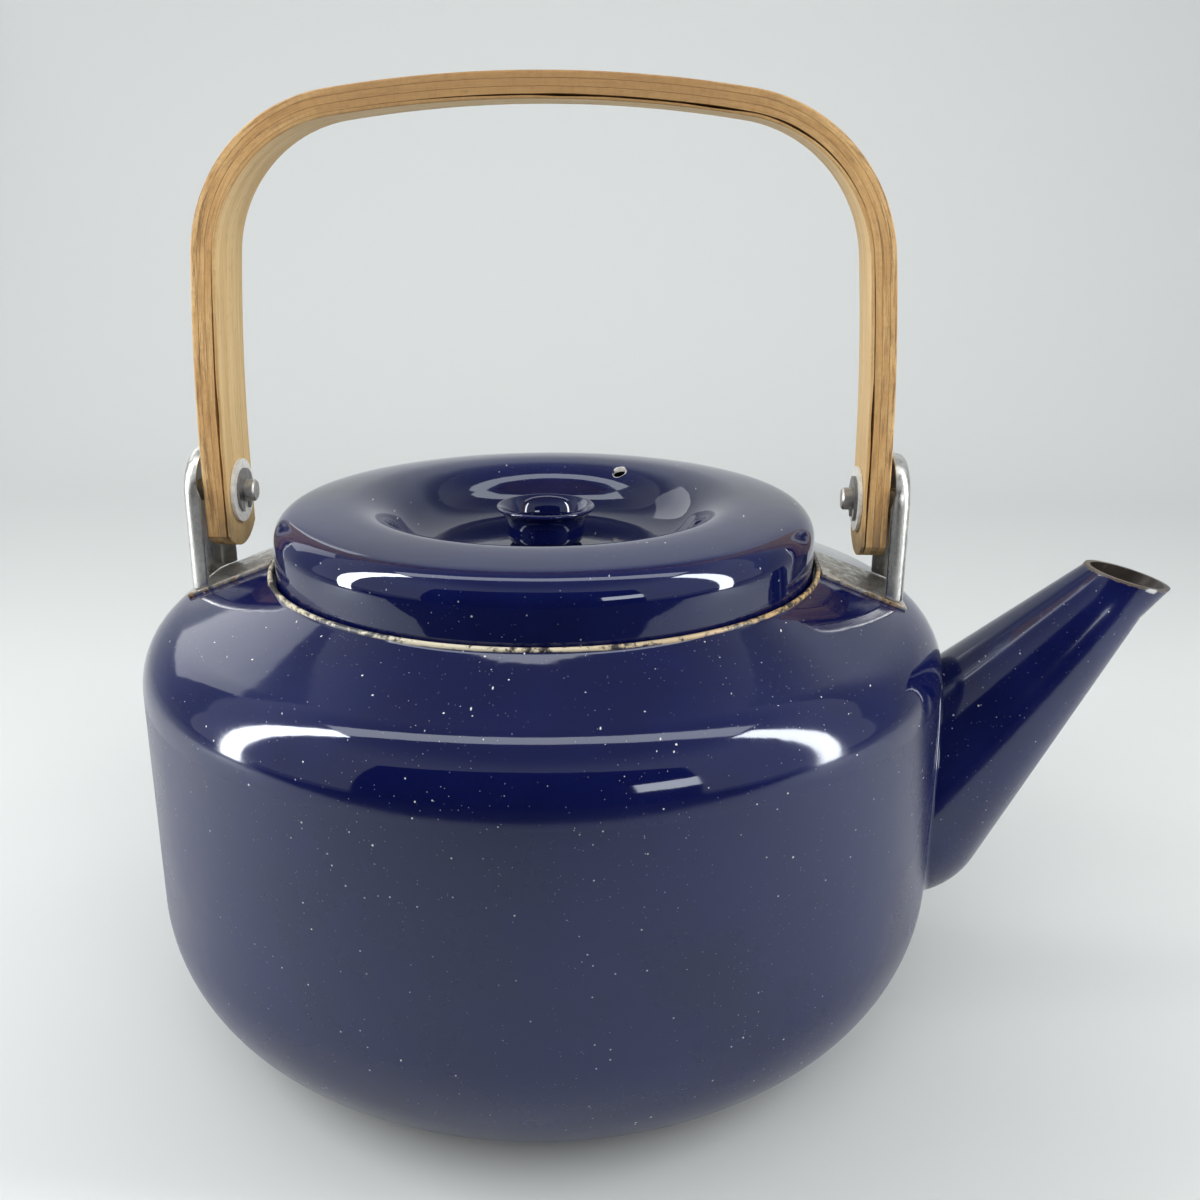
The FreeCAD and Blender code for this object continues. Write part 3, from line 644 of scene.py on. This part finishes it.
def steel_group():
    """Fine brushing along one way and dull spots of handled stainless sheet."""
    tree, given, result = new_group("steel_wear", {"Across": 900.0}, ("Brush", "Spots"))
    place = shader_node(tree, "TexCoord").outputs["Object"]
    brushed = stretched(place, (1, 1, 0.04))
    set_inputs(result, Brush=noise_at(brushed, given.outputs["Across"], 4.0),
               Spots=noise_at(place, 700.0, 4.0, 0.65))
    return tree


steel_wear = steel_group()


def steel(name, tone, gloss, dull, across, overlay=None, metallic=1.0):
    """A bare steel, with its roughness running between two values along its brushing. The overlay works as
    for the enamel, and gives back the share of bare metal too."""
    spot_dimming = 0.82
    material, tree, shader = new_material(name)
    wear = shader_node(tree, "Group", {"node_tree": steel_wear}, Across=across).outputs
    place = shader_node(tree, "TexCoord").outputs["Object"]
    grey = [value * spot_dimming for value in tone[:3]] + [1]
    colour = colour_between(faded(wear["Spots"], 0.36, 0.62), grey, tone)
    roughness = faded(wear["Brush"], 0.32, 0.68, gloss, dull)
    if overlay:
        colour, roughness, metallic = overlay(place, colour, roughness)
    bump = shader_node(tree, "Bump", Strength=0.03, Distance=0.1 * MM, Height=wear["Spots"])
    set_inputs(shader, Base_Color=colour, Roughness=roughness, Metallic=metallic,
               Normal=bump.outputs["Normal"])
    return material


def bracket_rust(place, colour, roughness):
    """Rust and old grease on the foot plate, thickest at its front edge."""
    rust_dark = (0.075, 0.045, 0.024, 1)
    rust_tan = (0.33, 0.215, 0.105, 1)
    rust_front = -11.6 * MM
    rust_back = -9.8 * MM
    split = parts_of(place)
    radius = vector_sum("LENGTH", vector_sum("MULTIPLY", place, (1, 1, 0)))
    fall = times(radius, math.tan(math.radians(breast_slope)))
    height = sum_of("SUBTRACT", sum_of("ADD", split["Z"], fall), breast_at(0))
    front = faded(split["Y"], rust_front, rust_back, 1, 0)
    low = faded(height, bracket_sheet * 1.1, bracket_sheet * 1.9, 1, 0)
    patchy = times(low, faded(noise_at(place, 420.0, 5.0, 0.7), 0.38, 0.56))
    rust = sum_of("MAXIMUM", times(front, patchy), times(patchy, 0.5))
    crust = faded(noise_at(place, 1100.0, 4.0, 0.7), 0.40, 0.62)
    colour = colour_between(rust, colour, colour_between(crust, rust_dark, rust_tan))
    roughness = sum_of("ADD", roughness, times(rust, 0.4))
    return colour, roughness, sum_of("SUBTRACT", 1.0, rust)


bracket_low, bracket_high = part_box("right_bracket")
ear_outer = 88.2 * MM
ear_half_width = 10.6 * MM
ear_rim = 84.3 * MM
ear_bend = 1.9 * MM
rim_step = 1.0 * MM
foot_gap = 0.2 * MM
foot_narrow = 10.5 * MM
foot_wide = bracket_high.y
ear_top = bracket_high.z
ear_pivot = ear_top - ear_half_width


def foot_top(x, y):
    """Give the height of the foot plate's top over a place on the breast."""
    return breast_at(math.hypot(x, y)) + bracket_sheet


def ear_path():
    """Walk up the ear's front edge, round its top and down its back edge. Gives each stop's share of the way
    up the straight part and its angle from the front."""
    rise_steps = 14
    over_steps = 40
    rise = [(step / rise_steps, 0.0) for step in range(rise_steps)]
    over = [(1.0, math.pi * step / over_steps) for step in range(over_steps + 1)]
    return rise + over + [(share, math.pi) for share, _ in reversed(rise)]


def ear_section(angle):
    """Walk along the ear's skin from the flange's rim to the web's middle: the way out and the way in."""
    rim = ear_rim + rim_step * min(1.0, 3 * math.sin(angle))
    flat = ear_outer - ear_bend
    web = ear_half_width - ear_bend
    flange_steps = 4
    bend_steps = 8
    web_steps = 5
    section = [(rim + (flat - rim) * step / flange_steps, 0.0) for step in range(flange_steps)]
    for step in range(bend_steps + 1):
        turn = math.pi / 2 * step / bend_steps
        section.append((flat + ear_bend * math.sin(turn), ear_bend * (1 - math.cos(turn))))
    section += [(ear_outer, ear_bend + web * step / web_steps) for step in range(1, web_steps + 1)]
    return section


def ear_skin(side):
    """Give the ear's outer skin as corners and faces, for the side that the sign names."""
    corners = []
    for share, angle in ear_path():
        for x, inset in ear_section(angle):
            reach = ear_half_width - inset
            y = -reach * math.cos(angle)
            z = ear_pivot + reach * math.sin(angle)
            low = foot_top(x, y) + foot_gap
            corners.append((side * x, y, low + (z - low) * share))
    return corners, grid_faces(len(ear_path()), len(ear_section(0.0)), side < 0)


def foot_skin(side):
    """Give the foot plate's top skin, which widens outwards and lies along the breast."""
    corners = []
    rows = 16
    columns = 14
    for row in range(rows + 1):
        x = bracket_low.x + (bracket_high.x - bracket_low.x) * row / rows
        half = foot_narrow + (foot_wide - foot_narrow) * row / rows
        for column in range(columns + 1):
            y = half * (2 * column / columns - 1)
            corners.append((side * x, y, foot_top(x, y)))
    return corners, grid_faces(rows + 1, columns + 1, side < 0)


def grid_faces(rows, columns, flipped):
    """Join a grid of corners into faces, with their winding turned over for a mirrored piece."""
    faces = []
    for row in range(rows - 1):
        for column in range(columns - 1):
            first = row * columns + column
            face = (first, first + columns, first + columns + 1, first + 1)
            faces.append(face[::-1] if flipped else face)
    return faces


def bracket(name, side):
    """Bend the ear and press the foot from sheet."""
    corners, faces = ear_skin(side)
    foot_corners, foot_faces = foot_skin(side)
    faces += [tuple(index + len(corners) for index in face) for face in foot_faces]
    piece = mesh_piece(name, corners + foot_corners, faces)
    bpy.ops.mesh.remove_doubles(threshold=1e-6)
    bpy.ops.object.mode_set(mode="OBJECT")
    applied(piece, "SOLIDIFY", thickness=bracket_sheet * 0.96, offset=-1, use_even_offset=True)
    applied(piece, "BEVEL", width=0.22 * MM, segments=2, limit_method="ANGLE", angle_limit=math.radians(50))
    smooth(piece, 40)
    return piece


bracket_steel = steel("bracket_steel", (0.66, 0.66, 0.64, 1), 0.26, 0.40, 900.0, bracket_rust)
for side_name, side in (("left", -1), ("right", 1)):
    ear = bracket(f"{side_name}_ear", side)
    ear.data.materials.append(bracket_steel)
    stands_for(ear, f"{side_name}_bracket", "pot")

# Pivot studs, washers and clips
# At each ear a headed steel stud passes through the ear and the wood. A flat washer bears on the inside of
# the wood, and a slotted clip in the stud's groove keeps it there.
stud_steel = steel("stud_steel", (0.60, 0.59, 0.56, 1), 0.40, 0.62, 1500.0)
washer_steel = steel("washer_steel", (0.82, 0.81, 0.77, 1), 0.36, 0.55, 1100.0, metallic=0.35)
clip_steel = steel("clip_steel", (0.30, 0.29, 0.28, 1), 0.30, 0.55, 1300.0)
pivot_parts = (("pivot_stud", stud_steel), ("washer", washer_steel), ("retaining_clip", clip_steel))
for side in ("left", "right"):
    for part, finish in pivot_parts:
        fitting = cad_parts[f"{side}_{part}"]
        fitting.data.materials.clear()
        fitting.data.materials.append(finish)

# Lid
# A loose pressed lid that sits on the ledge. Its skirt bends over to a crest that falls into a wide dish,
# and a small steam vent is punched through the far side of the dish.
lid_low, lid_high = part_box("lid_shell")
lid_radius = lid_high.y
lid_corner = 7 * MM
lid_corner_x = lid_radius - lid_corner
lid_corner_z = lid_low.z + 14.2 * MM
crown_radius = 60 * MM
crown_tilt = 12
crest_x = lid_corner_x - (crown_radius - lid_corner) * math.sin(math.radians(crown_tilt))
crest_z = lid_corner_z - (crown_radius - lid_corner) * math.cos(math.radians(crown_tilt)) + crown_radius
dish_slope = 54
brow_radius = 15 * MM
floor_bend = 14 * MM
dish_reach = brow_radius + floor_bend
floor_x = crest_x - dish_reach * math.sin(math.radians(dish_slope))
floor_z = crest_z - dish_reach * (1 - math.cos(math.radians(dish_slope)))
vent_angle = math.radians(66)
vent_place = Vector((math.cos(vent_angle), math.sin(vent_angle), 0)) * 42.1 * MM
vent_radius = 1.9 * MM


def lid_face(inset):
    """Give the lid's section from the skirt's foot in to the axis, inset from its face."""
    return (
        straight((lid_radius - inset, lid_low.z), (lid_radius - inset, lid_corner_z))
        + arc(lid_corner_x, lid_corner_z, lid_corner - inset, 0, 90 - crown_tilt)
        + arc(crest_x, crest_z - crown_radius, crown_radius - inset, 90 - crown_tilt, 90)
        + arc(crest_x, crest_z - brow_radius, brow_radius - inset, 90, 90 + dish_slope)
        + arc(floor_x, floor_z + floor_bend, floor_bend + inset, dish_slope - 90, -90)
        + straight((floor_x, floor_z - inset), (0, floor_z - inset))
    )


def lid_marks(place, colour, roughness):
    """A bright ring round the vent: partly enamel chipped to bare metal, and partly a painted glint."""
    chip_metal_and_glint = (0.62, 0.61, 0.57, 1)
    from_vent = vector_sum("DISTANCE", vector_sum("MULTIPLY", place, (1, 1, 0)), vent_place)
    ragged = times(noise_at(place, 420.0, 3.0), 1.5 * MM)
    chip_and_glint_reach = sum_of("ADD", from_vent, ragged)
    # The bright ring is partly a chip to bare metal and partly a painted glint.
    chip = faded(chip_and_glint_reach, vent_radius + 0.74 * MM, vent_radius + 1.0 * MM, 1, 0)
    return colour_between(chip, colour, chip_metal_and_glint), roughness


lid = turned("lid_pressing", lid_face(0) + lid_face(sheet)[::-1] + lid_face(0)[:1])
bpy.ops.object.select_all(action="DESELECT")
vent_middle = vent_place + Vector((0, 0, crest_z))
bpy.ops.mesh.primitive_cylinder_add(vertices=48, radius=vent_radius, depth=40 * MM, location=vent_middle)
cut_away(lid, bpy.context.active_object)
lid.data.materials.append(enamel("lid_enamel", 0.03, 0.07, 0.7, 0.7, lid_marks))
lid.data.materials.append(pot_inside)
for face in lid.data.polygons:
    faces_axis = face.normal.xy.dot(face.center.xy) < 0 and face.center.xy.length > lid_corner_x
    if face.normal.z < -0.05 or (abs(face.normal.z) <= 0.05 and faces_axis):
        face.material_index = 1
smooth(lid)
stands_for(lid, "lid_shell", "lid")

# Knob
# A small hollow cup, spun from sheet, with a round foot and a flaring lip. It is welded to the floor of
# the lid's dish and enamelled with the lid.
knob_waist = 9.6 * MM
knob_wall = 1.0 * MM
knob_foot = 2.4 * MM
flare_start = floor_z + 4.25 * MM
flare_radius = 5.3 * MM
flare_sweep = 59
flare_centre = knob_waist + flare_radius
lip_tip = arc(flare_centre, flare_start, flare_radius + knob_wall / 2, 180, 180 - flare_sweep)[-1]
facet = 0.5 * MM


def knob_side(inset):
    """Give the cup's section from the axis out and up to the lip, inset from its face."""
    return (
        straight((0, floor_z + inset), (knob_waist - knob_foot, floor_z + inset))
        + arc(knob_waist - knob_foot, floor_z + knob_foot, knob_foot - inset, -90, 0)
        + straight((knob_waist - inset, floor_z + knob_foot), (knob_waist - inset, flare_start))
        + arc(flare_centre, flare_start, flare_radius + inset, 180, 180 - flare_sweep)
    )


knob_lip = arc(lip_tip.x, lip_tip.z, knob_wall / 2, -flare_sweep, 180 - flare_sweep)
knob = turned("knob_cup", knob_side(0) + knob_lip + knob_side(knob_wall)[::-1], 128)
knob.data.materials.append(enamel("knob_enamel", 0.03, 0.06, 0.3, 0.3))
smooth(knob, 50)
stands_for(knob, "lid_knob", "lid")

# Bail
# A carrying handle of four thin beech veneers, glued in a press over a bow-shaped form and cut to a strip
# with round ends. The glue has let go along the innermost veneer, and hands have browned the edges.
bail_low, bail_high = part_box("handle_ply_outer")
bail_half_span = bail_high.x
bail_half_width = bail_high.y
bail_top = bail_high.z
bail_end_radius = 14 * MM
pivot_height = bail_low.z + bail_end_radius
crown_bend = 310 * MM
corner_bend = 40 * MM
bow_bend = 600 * MM
bow_lean = math.radians(4.95)
bow_start = pivot_height + 6.7 * MM
corner_x = bail_half_span - (bow_bend - (bow_bend - corner_bend) * math.cos(bow_lean))
crown_half_angle = math.asin(corner_x / (crown_bend - corner_bend))
corner_z = bail_top - crown_bend + (crown_bend - corner_bend) * math.cos(crown_half_angle)
bow_angle = math.pi / 2 - bow_lean
# The bow's three bends on one side, from the crown down: centre, radius, and angles from upright.
bends = (
    (0, bail_top - crown_bend, crown_bend, 0, crown_half_angle),
    (corner_x, corner_z, corner_bend, crown_half_angle, bow_angle),
    (bail_half_span - bow_bend, bow_start, bow_bend, bow_angle, math.pi / 2),
)
bends_run = sum(radius * (end - start) for _, _, radius, start, end in bends)
pivot_run = bends_run + bow_start - pivot_height
stud_hole = 2.83 * MM
crack_width = 0.55 * MM
crack_reach = 6 * MM
# Each crack's middle and reach along the strip, and its share of the full width.
cracks = ((28 * MM, 62 * MM, 1.0), (150 * MM, 60 * MM, 0.7), (-160 * MM, 62 * MM, 1.0))


def on_bail(run, depth, across):
    """Bend a place on the flat strip to the bow: its run from the crown's middle, its depth below the outer
    face and its way across."""
    side = -1 if run < 0 else 1
    left = abs(run)
    for centre_x, centre_z, radius, start, end in bends:
        angle = start + left / radius
        if angle < end:
            x = centre_x + (radius - depth) * math.sin(angle)
            z = centre_z + (radius - depth) * math.cos(angle)
            return Vector((side * x, across, z))
        left -= radius * (end - start)
    return Vector((side * (bail_half_span - depth), across, bow_start - left))


def strip_end(across):
    """How far the strip runs from the crown's middle, with its end rounded about the pivot."""
    return pivot_run + math.sqrt(bail_end_radius ** 2 - across ** 2)


def crack_depth(run, across):
    """How far the glue line is open: along the crown towards the spout, and down both arms."""
    open_share = 0.0
    for middle, reach, width in cracks:
        open_share = max(open_share, width * (1 - abs(run - middle) / reach))
    flutter = 0.65 + 0.7 * noise.noise(Vector((run * 90, across * 12, 3.1)))
    open_share = min(1.0, 1.6 * open_share) * max(0.0, flutter)
    from_edge = bail_half_width - abs(across)
    return crack_width * open_share * math.exp(-from_edge / crack_reach)


def veneer(name, depth, thickness, eased_out, eased_in, opened=0.0):
    """One veneer: a thin strip with its edges eased, bent to the bow. Where the glue line is open, its outer
    face sinks away from it, or its inner face if the opening is below zero."""
    half = bail_half_width
    edge_steps = 5
    face_steps = 12
    edge_share = 0.06
    turns = [math.pi / 2 * step / edge_steps for step in range(edge_steps + 1)]
    stops = [half * (1 - edge_share * (1 - math.cos(turn))) for turn in turns]
    stations = [-stop for stop in stops]
    stations += [half * (1 - edge_share) * (2 * step / face_steps - 1) for step in range(1, face_steps)]
    stations += stops[::-1]
    columns = 420
    skins = []
    for column in range(columns + 1):
        share = 2 * column / columns - 1
        outer_row = []
        inner_row = []
        for across in stations:
            run = share * strip_end(across)
            opening = opened * crack_depth(run, across)
            top = depth + eased(across, eased_out) + max(0.0, opening)
            bottom = depth + thickness - eased(across, eased_in) + min(0.0, opening)
            outer_row.append(on_bail(run, top, across))
            inner_row.append(on_bail(run, bottom, across))
        skins.append(outer_row + inner_row[::-1])
    count = 2 * len(stations)
    faces = skin_faces(columns + 1, count, False)
    for first in (0, columns * count):
        last = first + count - 1
        for index in range(len(stations) - 1):
            faces.append((first + index, first + index + 1, last - 1 - index, last - index))
    strip = mesh_piece(name, [point for row in skins for point in row], faces)
    bpy.ops.mesh.normals_make_consistent(inside=False)
    bpy.ops.object.mode_set(mode="OBJECT")
    bpy.ops.object.select_all(action="DESELECT")
    bpy.ops.mesh.primitive_cylinder_add(vertices=48, radius=stud_hole, depth=3 * bail_half_span,
                                        location=(0, 0, pivot_height), rotation=(0, math.pi / 2, 0))
    cut_away(strip, bpy.context.active_object)
    keep_board(strip)
    smooth(strip, 40)
    return strip


def eased(across, ease):
    """How far a face falls away at its eased edge."""
    into_edge = (abs(across) - (bail_half_width - ease)) / ease
    if into_edge <= 0:
        return 0.0
    return ease * (1 - math.sqrt(max(0.0, 1 - into_edge ** 2)))


def keep_board(strip):
    """Store for each corner where it lay on the flat strip: run, way across and depth."""
    flat = strip.data.attributes.new("board", "FLOAT_VECTOR", "POINT")
    for corner, stored in zip(strip.data.vertices, flat.data):
        stored.vector = off_bail(corner.co)


def off_bail(point):
    """Unroll a place on the bent bail to the flat strip."""
    side = -1 if point.x < 0 else 1
    run = 0.0
    for centre_x, centre_z, radius, start, end in bends:
        x = abs(point.x) - centre_x
        z = point.z - centre_z
        angle = math.atan2(x, z)
        if angle < end:
            run += radius * (angle - start)
            return Vector((side * run, point.y, radius - math.hypot(x, z)))
        run += radius * (end - start)
    return Vector((side * (run + bow_start - point.z), point.y, bail_half_span - abs(point.x)))


def wood_group():
    """Grain, pores, saw marks, torn fibre and handling grime on a strip's board coordinates."""
    marks = ("Bands", "Fibre", "Pores", "Grime", "Edge", "Saw", "Torn")
    tree, given, result = new_group("beech_grain", {"Seed": 0.0}, marks)
    board = shader_node(tree, "Attribute", {"attribute_name": "board"}).outputs["Vector"]
    shift = shader_node(tree, "CombineXYZ", X=given.outputs["Seed"]).outputs["Vector"]
    place = vector_sum("ADD", board, shift)
    across = sum_of("ABSOLUTE", parts_of(board)["Y"])
    distance, chance = cells_at(stretched(place, (260, 3000, 3000)))
    kept = sum_of("GREATER_THAN", chance["Red"], 0.62)
    set_inputs(
        result,
        Bands=noise_at(stretched(place, (7, 210, 800)), 1.0, 4.0, 0.65),
        Fibre=noise_at(stretched(place, (38, 1100, 1500)), 1.0, 6.0, 0.78),
        Pores=times(faded(distance, 0.14, 0.30, 1, 0), kept),
        Grime=noise_at(stretched(place, (45, 90, 90)), 1.0, 5.0, 0.65),
        Edge=faded(across, bail_half_width - 0.75 * MM, bail_half_width - 0.1 * MM),
        Saw=noise_at(stretched(place, (1100, 40, 350)), 1.0, 4.0, 0.7),
        Torn=noise_at(stretched(place, (70, 500, 1150)), 1.0, 6.0, 0.8),
    )
    return tree


beech_grain = wood_group()


def beech(name, seed, pale, warm, rough_edge):
    """One veneer's wood, between a pale and a warm tone, browner on its cut edges and near its ends."""
    material, tree, shader = new_material(name)
    grain = shader_node(tree, "Group", {"node_tree": beech_grain}, Seed=seed).outputs
    edge = grain["Edge"]
    board = shader_node(tree, "Attribute", {"attribute_name": "board"}).outputs["Vector"]
    run = sum_of("ABSOLUTE", parts_of(board)["X"])
    crown_near = 30 * MM
    crown_far = 85 * MM

    dark_fibre = times(faded(grain["Fibre"], 0.46, 0.68), faded(edge, 0, 1, 0.55, 0.95))
    edge_grime = times(edge, faded(grain["Grime"], 0.34, 0.62, 0.15, 0.85))
    torn_edge = times(edge, faded(grain["Torn"], 0.47, 0.62, 0.0, rough_edge))
    brown_crown = times(edge, faded(run, crown_near, crown_far, 0.80, 0.0))
    sawn = times(edge, faded(grain["Saw"], 0.46, 0.64))
    saw_marks = times(sawn, faded(run, crown_near, crown_far, 0.55, 0.18))
    near_end = faded(run, pivot_run - 4 * MM, pivot_run + 13 * MM)
    end_stain = times(near_end, faded(grain["Grime"], 0.46, 0.68), 0.7)
    stains = (
        (dark_fibre, (0.30, 0.155, 0.052, 1)),
        (edge_grime, (0.43, 0.235, 0.078, 1)),
        (torn_edge, (0.17, 0.080, 0.026, 1)),
        (brown_crown, (0.30, 0.165, 0.058, 1)),
        (saw_marks, (0.26, 0.140, 0.050, 1)),
        (times(grain["Pores"], 0.5), (0.16, 0.080, 0.030, 1)),
        (end_stain, (0.11, 0.085, 0.060, 1)),
    )
    colour = colour_between(faded(grain["Bands"], 0.34, 0.66), pale, warm)
    for share, stain in stains:
        colour = colour_between(share, colour, stain)
    bump = shader_node(tree, "Bump", Strength=0.45, Distance=0.15 * MM, Height=grain["Fibre"])
    set_inputs(shader, Base_Color=colour, Normal=bump.outputs["Normal"],
               Roughness=faded(grain["Fibre"], 0.3, 0.7, 0.48, 0.66))
    return material


veneer_thickness = 1.65 * MM
inner_veneer = 0.9 * MM
glue_line = 0.05 * MM
veneer_step = veneer_thickness + glue_line
ease = 0.45 * MM
slight = 0.02 * MM
# Each veneer from the outside in: its name, its thickness, how far its outer and inner edges are eased, how
# far it sinks at the open glue line, how torn its edges are, and its pale and warm tones.
veneers = (
    ("outer", veneer_thickness, ease, slight, 0.0, 0.95, (0.70, 0.49, 0.225, 1), (0.58, 0.37, 0.150, 1)),
    ("third", veneer_thickness, slight, slight, 0.0, 0.75, (0.64, 0.42, 0.180, 1), (0.51, 0.31, 0.118, 1)),
    ("second", veneer_thickness, slight, slight, -0.5, 0.5, (0.64, 0.43, 0.190, 1), (0.52, 0.32, 0.122, 1)),
    ("inner", inner_veneer, slight, ease * 0.8, 0.9, 0.15, (0.63, 0.450, 0.208, 1), (0.54, 0.360, 0.150, 1)),
)
seed_step = 7.3
for index, (place, thickness, eased_out, eased_in, opened, rough_edge, pale, warm) in enumerate(veneers):
    strip = veneer(f"veneer_{place}", index * veneer_step, thickness, eased_out, eased_in, opened)
    seed = seed_step * (index + 1)
    strip.data.materials.append(beech(f"beech_{place}", seed, pale, warm, rough_edge))
    stands_for(strip, f"handle_ply_{place}", "bail")

# Floor and backdrop
# A wide sheet of pale, dull paper that lies flat under the kettle and sweeps up behind it in one round
# bend, so that the picture shows no horizon.
paper_half = 5.0
paper_front = -5.0
sweep_start = 0.55
sweep_radius = 0.45
paper_top = 1.8
facet = 30 * MM
sweep = arc(sweep_start, sweep_radius, sweep_radius, -90, 0)


def drawn_sheet(name, half_width, line, material_name, tone, shine):
    """Pull a line, given by its places along Y and Z, sideways into a sheet of one dull colour."""
    piece = drawn_line(name, [Vector((-half_width, y, z)) for y, z in line])
    bpy.ops.mesh.select_all(action="SELECT")
    bpy.ops.mesh.extrude_edges_move(TRANSFORM_OT_translate={"value": (2 * half_width, 0, 0)})
    bpy.ops.mesh.select_all(action="SELECT")
    bpy.ops.mesh.normals_make_consistent(inside=False)
    bpy.ops.object.mode_set(mode="OBJECT")
    smooth(piece)
    material, _, shader = new_material(material_name)
    set_inputs(shader, Base_Color=tone, Roughness=0.9, Specular_IOR_Level=shine)
    piece.data.materials.append(material)
    return piece


paper_line = [(paper_front, 0), (sweep_start, 0)]
paper_line += [(point.x, point.z) for point in sweep]
paper_line += [(sweep_start + sweep_radius, paper_top)]
paper = drawn_sheet("paper", paper_half, paper_line, "pale_paper", (0.53, 0.545, 0.54, 1), 0.0)

# Dark card
# A black card in front of the kettle, out of the picture, that lies flat and then stands up. The enamel's
# front mirrors it, as it mirrors the dark side of a room. Only mirrored light meets it.
card_half = 1.1
card_near = -0.30
card_far = -1.15
card_top = 1.2
card_lift = 2 * MM
card_line = [(card_near, card_lift), (card_far, card_lift), (card_far, card_top)]
card = drawn_sheet("dark_card", card_half, card_line, "black_card", (0.012, 0.012, 0.013, 1), 0.5)
card.visible_camera = False
card.visible_diffuse = False
card.visible_shadow = False

# Light
# Pale air all round, darker straight above. Two tall strips stand at the sides, a long box hangs overhead, a
# panel stands behind on the left and a small window in front on the right. The wash on the backdrop and the
# front fill aren't mirrored.
world = bpy.data.worlds.new("studio_air")
bpy.context.scene.world = world
world.use_nodes = True
air = world.node_tree
look = shader_node(air, "TexCoord").outputs["Generated"]
upward = parts_of(look)["Z"]
set_inputs(air.nodes["Background"], Color=(0.86, 0.88, 0.90, 1),
           Strength=faded(upward, 0.65, 0.95, 0.74, 0.28))


def soft_box(name, place, target, width, height, watts):
    """Hang a rectangular lamp that faces a point."""
    bpy.ops.object.select_all(action="DESELECT")
    bpy.ops.object.light_add(type="AREA", location=place)
    lamp = bpy.context.active_object
    lamp.name = name
    lamp.data.shape = "RECTANGLE"
    lamp.data.size = width
    lamp.data.size_y = height
    lamp.data.energy = watts
    lamp.rotation_euler = (Vector(target) - Vector(place)).to_track_quat("-Z", "Y").to_euler()
    lamp.visible_camera = False
    return lamp


pot_middle = Vector((0, 0, 0.12))
soft_box("left_strip", (-0.52, -0.12, 0.34), pot_middle, 0.08, 0.66, 3.8)
soft_box("right_strip", (0.55, -0.12, 0.34), pot_middle, 0.08, 0.66, 3.0)
soft_box("overhead", (0, -0.02, 1.15), pot_middle, 1.5, 0.22, 3.6)
wash = soft_box("backdrop_wash", (0, 0.60, 1.10), (0, 1.0, 0.78), 2.4, 0.15, 5.0)
wash.visible_glossy = False
soft_box("left_panel", (-0.75, 0.70, 0.62), pot_middle, 0.6, 0.5, 1.2)
fill = soft_box("front_fill", (0, -1.0, 1.3), pot_middle, 1.4, 0.8, 6.0)
fill.visible_glossy = False
soft_box("front_window", (0.52, -0.75, 0.34), pot_middle, 0.26, 0.16, 0.9)

# Camera
# A view from close in front and a little above, from a little to the spout's side of the middle. The
# lens is given by its focal length in pixels of a square picture.
camera_place = Vector((30.25, -314.44, 207.44)) * MM
view_width = 36
camera_pitch = 17.924
camera_yaw = 3.0
camera_roll = 0.135
focal_pixels = 1284.13
photo_pixels = 1200
bpy.ops.object.camera_add(location=camera_place)
camera = bpy.context.active_object
facing = (
    Matrix.Rotation(math.radians(camera_yaw), 3, "Z")
    @ Matrix.Rotation(math.radians(90 - camera_pitch), 3, "X")
    @ Matrix.Rotation(math.radians(camera_roll), 3, "Z")
)
camera.rotation_euler = facing.to_euler()
camera.data.sensor_width = view_width
camera.data.lens = focal_pixels * view_width / photo_pixels
camera.data.clip_start = 10 * MM
bpy.context.scene.camera = camera
bpy.context.scene.view_settings.view_transform = "Standard"
